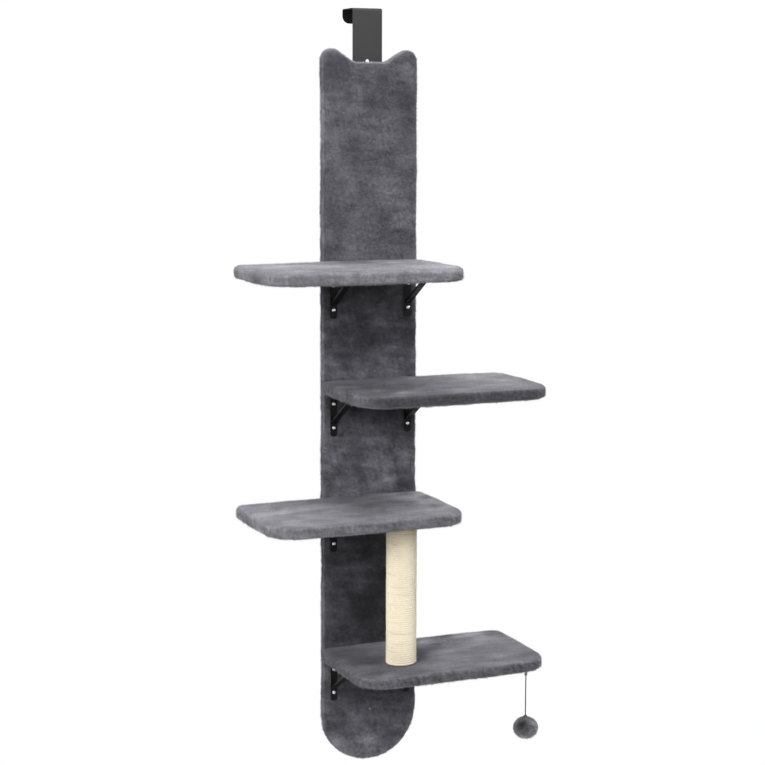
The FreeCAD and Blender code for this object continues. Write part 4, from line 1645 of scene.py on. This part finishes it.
@dataclass
class Shelf:
    """One plush shelf: a soft sleeve, drawn tight over its front, with its pile.

    Args:
        number: Which shelf it is, from the top.
        inset: How far the skin lies inside the solid cover.
        top_drop: How much further its top does.
        front_corner: Radius of the front corners.
        back_corner: Radius of the back corners.
        far_corner: Radius of the free back corner of a shelf that stands out to the right.
        edge_round: Turn of its edges before the sleeve is drawn tight.
        tight_zone: Width of the edge that is drawn tight.
        post_room: How far the plush takes to rise beside the post.
        post_gap: How far round the post the pile stays away.
        press_reach: Height over and under the post's end where the plush is pressed.
        press_depth: How far it is pressed past that end.
        patch_depth: Reach of a brushed place below the top.
    """

    number: int
    inset: float = 0.2 * MM
    top_drop: float = 2.2 * MM
    front_corner: float = 62.0 * MM
    back_corner: float = 20.0 * MM
    far_corner: float = 32.0 * MM
    edge_round: float = 3.0 * MM
    tight_zone: float = 11.0 * MM
    post_room: float = 4.0 * MM
    post_gap: float = 1.5 * MM
    press_reach: float = 6.0 * MM
    press_depth: float = 0.3 * MM
    patch_depth: float = 10.0 * MM

    def build(self) -> None:
        """Makes the sleeve and its pile."""
        name = f"shelf_{self.number}"
        look = SHELF_LOOKS[self.number - 1]
        low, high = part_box(name + "_cover")
        gap = Vector((self.inset,) * 3)
        low, high = low + gap, high - gap - Vector((0, 0, self.top_drop))
        front = self.front_corner - self.inset
        back = self.back_corner - self.inset
        far = back if self.number % 2 else self.far_corner - self.inset
        loop = Bench.rounded_loop([
            (low.x, low.y, front), (high.x, low.y, front),
            (high.x, high.y, far), (low.x, high.y, back)], 9)
        plate = Bench.plate([Vector((p.x, p.y, high.z)) for p in loop], (0, 0, low.z - high.z))
        Bench.soften(plate, lambda edge: abs(edge.verts[0].co.z - edge.verts[1].co.z) < MM, self.edge_round)
        piece = Bench.place(name + "_plush", Bench.mesh_of(plate, name + "_plush"), SHELF_PLUSH_PAINTED_LIGHTER)
        soft = PlushSkin(ripple=0.45 * MM, wave=1.5 * MM, broad=2, seed=60 + 5 * self.number)
        soft.even_mesh(piece)
        soft.stretch(piece)
        soft.ruffle(piece)
        self.draw_tight(piece.data, low, high, (front, far, back), look.tight)
        self.press_by_post(piece.data)
        dress(piece, Body.CLIMBER, Slot.PLUSH, name + "_cover")
        zones = [
            LightShadeAndNapZone((across, deep, high.z), (wide, long, self.patch_depth), gain)
            for across, deep, wide, long, gain in look.patches]
        # Face tone: painted light and shade on the front, painted light on the left and right ends, a
        # painted highlight along the lower edges, and zones of painted light and shade on the top.
        tone = FaceLightAndNapTone(
            front=look.front, side=(look.left, 1.45), rim=0.3, mottle=0.2, speckle=look.speckle,
            strokes=look.strokes, grain=0.1, broad=2, zones=zones)
        pile = Pile(
            lay=PileLay.FORWARD, swirl=0.7, seed=90 + self.number, bare=self.post_spot(), fringe=1.0,
            tone=tone)
        dress(pile.grow(piece, name + "_pile", SHELF_PLUSH_PAINTED_LIGHTER), Body.CLIMBER, Slot.PLUSH)

    def draw_tight(self, mesh: Mesh, low: Vector, high: Vector, radii: Triple, tight: float) -> None:
        """Draws the sleeve tight over the board's edges.

        Args:
            mesh: Mesh of the sleeve.
            low: Least corner of its box.
            high: Greatest corner of its box.
            radii: Corner radii at the front, at the back on the right and at the back on the left.
            tight: How sharp the straight front edge becomes.
        """
        middle = np.array((low + high) / 2)
        half = np.array((high - low) / 2)
        front, far, back = radii

        def inside(flat: Rows) -> Rows:
            """How far inside the outline each point lies, seen from above.

            Args:
                flat: Points across and in depth.

            Returns:
                One distance for each.
            """
            away = flat - middle[:2]
            radius = np.where(away[:, 1] < 0, front, np.where(away[:, 0] > 0, far, back))
            past = np.abs(away) - half[:2] + radius[:, None]
            return radius - np.linalg.norm(np.maximum(past, 0), axis=1) - np.minimum(past.max(1), 0)

        points = Bench.points(mesh)
        flat = points[:, :2]
        deep = inside(flat)
        step = 0.2 * MM
        inward = np.stack([(inside(flat + step * way) - deep) / step for way in np.eye(2)], axis=1)
        rise = points[:, 2] - middle[2]
        over = np.maximum(np.abs(rise) - half[2] + self.tight_zone, 0)
        out = np.maximum(self.tight_zone - deep, 0)
        reach = np.maximum(np.hypot(over, out), 0.01 * MM)
        over_share, out_share = over / reach, out / reach
        power = 2.2 + tight * ramp(inward[:, 1], 0.8, 0.2)
        grown = (over_share ** power + out_share ** power + 1e-9) ** (-1 / power)
        grown *= 1 + (self.tight_zone / reach - 1) * (2 * over_share * out_share) ** 2
        grown = np.where((over > 0) & (out > 0), grown, 1.0)
        points[:, :2] -= inward * (out * (grown - 1))[:, None]
        points[:, 2] += np.sign(rise) * over * (grown - 1)
        Bench.move_to(mesh, points)

    def post_spot(self) -> Triple:
        """Axis of the scratching post across and in depth, and the radius that it covers here.

        Returns:
            Place across, place in depth and radius.
        """
        low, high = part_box("post_rope")
        middle = (low + high) / 2
        reach = (high.x - low.x) / 2 + self.post_gap if self.number > 2 else 0.0
        return middle.x, middle.y, reach

    def press_by_post(self, mesh: Mesh) -> None:
        """Presses the plush flat where the scratching post stands on it.

        Args:
            mesh: Mesh of the sleeve.
        """
        across, deep, reach = self.post_spot()
        if not reach:
            return
        lowest = self.number == 4
        points = Bench.points(mesh)
        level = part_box("post_tube")[0 if lowest else 1].z
        away = np.hypot(points[:, 0] - across, points[:, 1] - deep)
        near = np.clip(1 - (away - reach) / self.post_room, 0, 1)
        near *= np.abs(points[:, 2] - level) < self.press_reach
        pressed = level + (self.press_depth if lowest else -self.press_depth)
        points[:, 2] += near * (pressed - points[:, 2])
        Bench.move_to(mesh, points)


@dataclass
class ScratchingPost:
    """Post wound with fine sisal rope, turn on turn.

    Args:
        rope: Height of one turn.
        steps: Straight pieces in a turn.
        sides: Sides of the rope's section.
        pressed: Half the rope's thickness, beside a turn's height.
        spread: How much taller than thick the rope is pressed.
        slack: Depth of its wide and of its close unevenness.
    """

    rope: float = 5.0 * MM
    steps: int = 44
    sides: int = 10
    pressed: float = 0.54
    spread: float = 1.3
    slack: tuple[float, float] = (0.22 * MM, 0.14 * MM)

    def winding(self, centre: Vector, radius: float, bottom: float, top: float) -> Mesh:
        """One unbroken rope round the post.

        Args:
            centre: Point on the post's axis.
            radius: Outer radius of the winding.
            bottom: Height where it starts.
            top: Height where it ends.

        Returns:
            Its mesh, with how far along and how far round the rope each point lies.
        """
        turns = round((top - bottom) / self.rope) - 1
        pitch = (top - bottom - self.rope) / turns
        thick = self.rope * self.pressed
        run = radius - thick
        start = bottom + self.rope / 2
        shape = bmesh.new()
        bmesh.ops.create_circle(shape, cap_ends=False, segments=self.sides, radius=thick)
        bmesh.ops.rotate(shape, verts=shape.verts, matrix=Matrix.Rotation(math.pi / self.sides, 3, "Z"))
        bmesh.ops.scale(shape, verts=shape.verts, vec=(1.0, self.spread, 1.0))
        bmesh.ops.rotate(shape, verts=shape.verts, matrix=Matrix.Rotation(math.pi / 2, 3, "X"))
        bmesh.ops.translate(shape, verts=shape.verts, vec=(centre.x + run, centre.y, start))
        bmesh.ops.spin(
            shape, geom=shape.verts[:] + shape.edges[:], cent=(centre.x, centre.y, 0), axis=(0, 0, 1),
            dvec=(0, 0, pitch / self.steps), angle=2 * math.pi, steps=self.steps, use_merge=False)
        frames = np.zeros((turns, 4, 3))
        frames[:, :3] = np.eye(3)
        frames[:, 3, 2] = pitch * np.arange(turns)
        whole = bmesh.new()
        whole.from_mesh(Bench.repeat(shape, frames, "turns"))
        bmesh.ops.remove_doubles(whole, verts=whole.verts, dist=0.05 * MM)
        bmesh.ops.holes_fill(whole, edges=[edge for edge in whole.edges if edge.is_boundary], sides=0)
        mesh = Bench.mesh_of(whole, "post_rope_winding")
        points = Bench.points(mesh)
        away = points[:, :2] - np.array(centre)[:2]
        distance = np.linalg.norm(away, axis=1)
        outward = distance - run
        angle = np.arctan2(away[:, 1], away[:, 0]) % (2 * math.pi)
        level = (points[:, 2] - start) / pitch - angle / (2 * math.pi)
        turn = np.round(level)
        Bench.hold(mesh, "rope_run", (turn * 2 * math.pi + angle) * run)
        Bench.hold(mesh, "rope_round", np.arctan2((level - turn) * pitch, outward))
        wide, close = self.slack
        slack = wide * SoftNoise(141, 0.03).at(points) + close * SoftNoise(142, 0.009).at(points)
        outer = np.clip(outward / thick, 0, 1) / np.maximum(distance, MM)
        points[:, :2] += away * (slack * outer)[:, None]
        Bench.move_to(mesh, points)
        return mesh

    def build(self) -> None:
        """Winds the rope and lets some hairs stand off it."""
        low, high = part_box("post_rope")
        bottom, top = (corner.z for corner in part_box("post_tube"))
        mesh = self.winding((low + high) / 2, (high.x - low.x) / 2, bottom, top)
        winding = dress(
            Bench.place("post_rope_winding", mesh, SISAL), Body.CLIMBER, Slot.ROPE, "post_rope")
        hairs = Pile(
            per_area=16000.0, length=7.0 * MM, width=0.35 * MM, lean=3.0, swirl=9.0, seed=130,
            sorted_skin=True)
        dress(hairs.grow(winding, "post_rope_hairs", SISAL), Body.CLIMBER, Slot.ROPE)


@dataclass
class Fasteners:
    """Pan-head screws with a cross recess, in the brackets and in the lower panel.

    Args:
        head: Width of a head.
        height: Height of a head.
        shank: Thickness of a shank.
        grip: Length of a shank.
        dome: Shares of the head's radius and height along its curve, from the middle out.
        slot: Length and width of the recess's arms, as shares of the head.
        slot_level: Height of their middle, as a share of the head's.
        turns: Turn of the first screw and from screw to screw.
        wall_drops: How far below a bracket's top its wall screws sit.
        shelf_reaches: How far before its back its shelf screws sit.
        steel: Thickness of a bracket's steel.
    """

    head: float = 8.4 * MM
    height: float = 2.2 * MM
    shank: float = 4.0 * MM
    grip: float = 12.0 * MM
    dome: tuple[tuple[float, float], ...] = (
        (0.0, 1.0), (0.45, 0.94), (0.8, 0.7), (0.97, 0.35), (1.0, 0.1), (0.98, 0.0))
    slot: tuple[float, float] = (0.62, 0.13)
    slot_level: float = 0.98
    turns: tuple[float, float] = (0.3, 0.9)
    wall_drops: tuple[float, float] = (26.0 * MM, 82.0 * MM)
    shelf_reaches: tuple[float, float] = (34.0 * MM, 138.0 * MM)
    steel: float = 2.0 * MM

    def template(self) -> Shape:
        """One screw along Z: its head's seat at the origin, its dome above and its shank below.

        Returns:
            The screw.
        """
        profile = [(self.head / 2 * across, self.height * up) for across, up in self.dome]
        profile += [(self.shank / 2, 0.0), (self.shank / 2, -self.grip * 0.8), (0.0, -self.grip)]
        shape = bmesh.new()
        line = [shape.verts.new((across, 0, up)) for across, up in profile]
        edges = [shape.edges.new(pair) for pair in zip(line[:-1], line[1:])]
        bmesh.ops.spin(
            shape, geom=line + edges, cent=(0, 0, 0), axis=(0, 0, 1), dvec=(0, 0, 0), angle=2 * math.pi,
            steps=28, use_merge=True)
        bmesh.ops.remove_doubles(shape, verts=shape.verts, dist=1e-6)
        screw = Bench.place("screw", Bench.mesh_of(shape, "screw"), ZINC)
        cross = bmesh.new()
        for wide, deep in (self.slot, self.slot[::-1]):
            arm = bmesh.ops.create_cube(cross, size=1.0)["verts"]
            bmesh.ops.scale(cross, verts=arm, vec=(self.head * wide, self.head * deep, self.height))
            bmesh.ops.translate(cross, verts=arm, vec=(0, 0, self.height * self.slot_level))
        cutter = Bench.place("recess", Bench.mesh_of(cross, "recess", False), ZINC)
        cut = screw.modifiers.new("recess", "BOOLEAN")
        cut.object = cutter
        cut.solver = "EXACT"
        cut.use_self = True
        Bench.settle_modifiers(screw)
        done = bmesh.new()
        done.from_mesh(screw.data)
        bpy.data.objects.remove(screw)
        bpy.data.objects.remove(cutter)
        return done

    def set_of(
            self, name: str, seats: Sequence[Vector], way: Vector, node: str,
            finish: Finish = ZINC) -> None:
        """One piece of screws.

        Args:
            name: Name of the piece.
            seats: Middle of each screw's seat.
            way: Way that the heads face.
            node: Solids of the frame that it stands for.
            finish: Finish of the screws.
        """
        first, step = self.turns
        facing = way.to_track_quat("Z", "Y").to_matrix()
        frames = []
        for index, seat in enumerate(seats):
            turn = facing @ Matrix.Rotation(step * index + first, 3, "Z")
            frames.append([turn.col[0], turn.col[1], turn.col[2], seat])
        mesh = Bench.shade(Bench.repeat(self.template(), np.array(frames), name), False)
        dress(Bench.place(name, mesh, finish), Body.CLIMBER, Slot.ZINC, node)

    def build(self) -> None:
        """Drives every screw that shows."""
        wall, under = [], []
        for name in BRACKETS:
            low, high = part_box(name)
            middle = (low.x + high.x) / 2
            wall += [Vector((middle, high.y - self.steel, high.z - drop)) for drop in self.wall_drops]
            under += [Vector((middle, high.y - reach, high.z - self.steel)) for reach in self.shelf_reaches]
        low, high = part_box("lower_panel_screw")
        lone = Vector(((low.x + high.x) / 2, low.y + self.height, (low.z + high.z) / 2))
        room, down = Vector((0, -1, 0)), Vector((0, 0, -1))
        self.set_of("bracket_wall_screw_set", wall, room, "bracket_wall_screws")
        self.set_of("bracket_shelf_screw_set", under, down, "bracket_shelf_screws")
        # This screw takes the darker zinc: painted shade.
        self.set_of("lower_panel_screw_head", [lone], room, "lower_panel_screw", SHADED_ZINC)


@dataclass
class PlainPieces:
    """Pieces that keep the frame's own forms: hook, brackets, boards, the post's core and fasteners.

    Args:
        finishes: Each finish and the solids that take it.
    """

    finishes: tuple[tuple[Finish, Sequence[str]], ...] = (
        (HOOK_PAINT, ("door_hook",)),
        (BRACKET_PAINT, BRACKETS),
        (CHIPBOARD, tuple(f"shelf_{number}_core" for number in SHELVES)),
        (CHIPBOARD, tuple(f"{panel}_core" for panel in PANELS)),
        (LOOP_YARN_PAINTED_LIGHTER, ("toy_cord_loop",)),
        (CARDBOARD, ("post_tube",)),
        (PLUG_WOOD, ("post_lower_plug", "post_upper_plug")),
        (ZINC, ("toy_screw_eye", "post_lower_bolt", "post_upper_bolt")),
        (ZINC, ("hook_bolts", "hook_nuts", "joining_plates", "joining_screws")))

    def build(self, nodes: dict[str, Piece]) -> None:
        """Paints each solid.

        Args:
            nodes: Solids of the frame by name.
        """
        for finish, names in self.finishes:
            for name in names:
                node = nodes[name]
                for place in node.material_slots:
                    place.material = finish.material()
                if not node.material_slots:
                    node.data.materials.append(finish.material())
                LOG.info("%s: painted %s", name, finish.name)


def main() -> None:
    """Builds the pieces in order on the frame."""
    logging.basicConfig(level=logging.INFO, format="%(relativeCreated)d %(name)s: %(message)s")
    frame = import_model()
    Studio().build()
    toy = Toy()
    toy.build_cord()
    for number in SHELVES:
        Shelf(number).build()
    Backboard().build()
    toy.build_ball()
    ScratchingPost().build()
    Fasteners().build()
    PlainPieces().build(frame["nodes"])


if __name__ == "__main__":
    main()
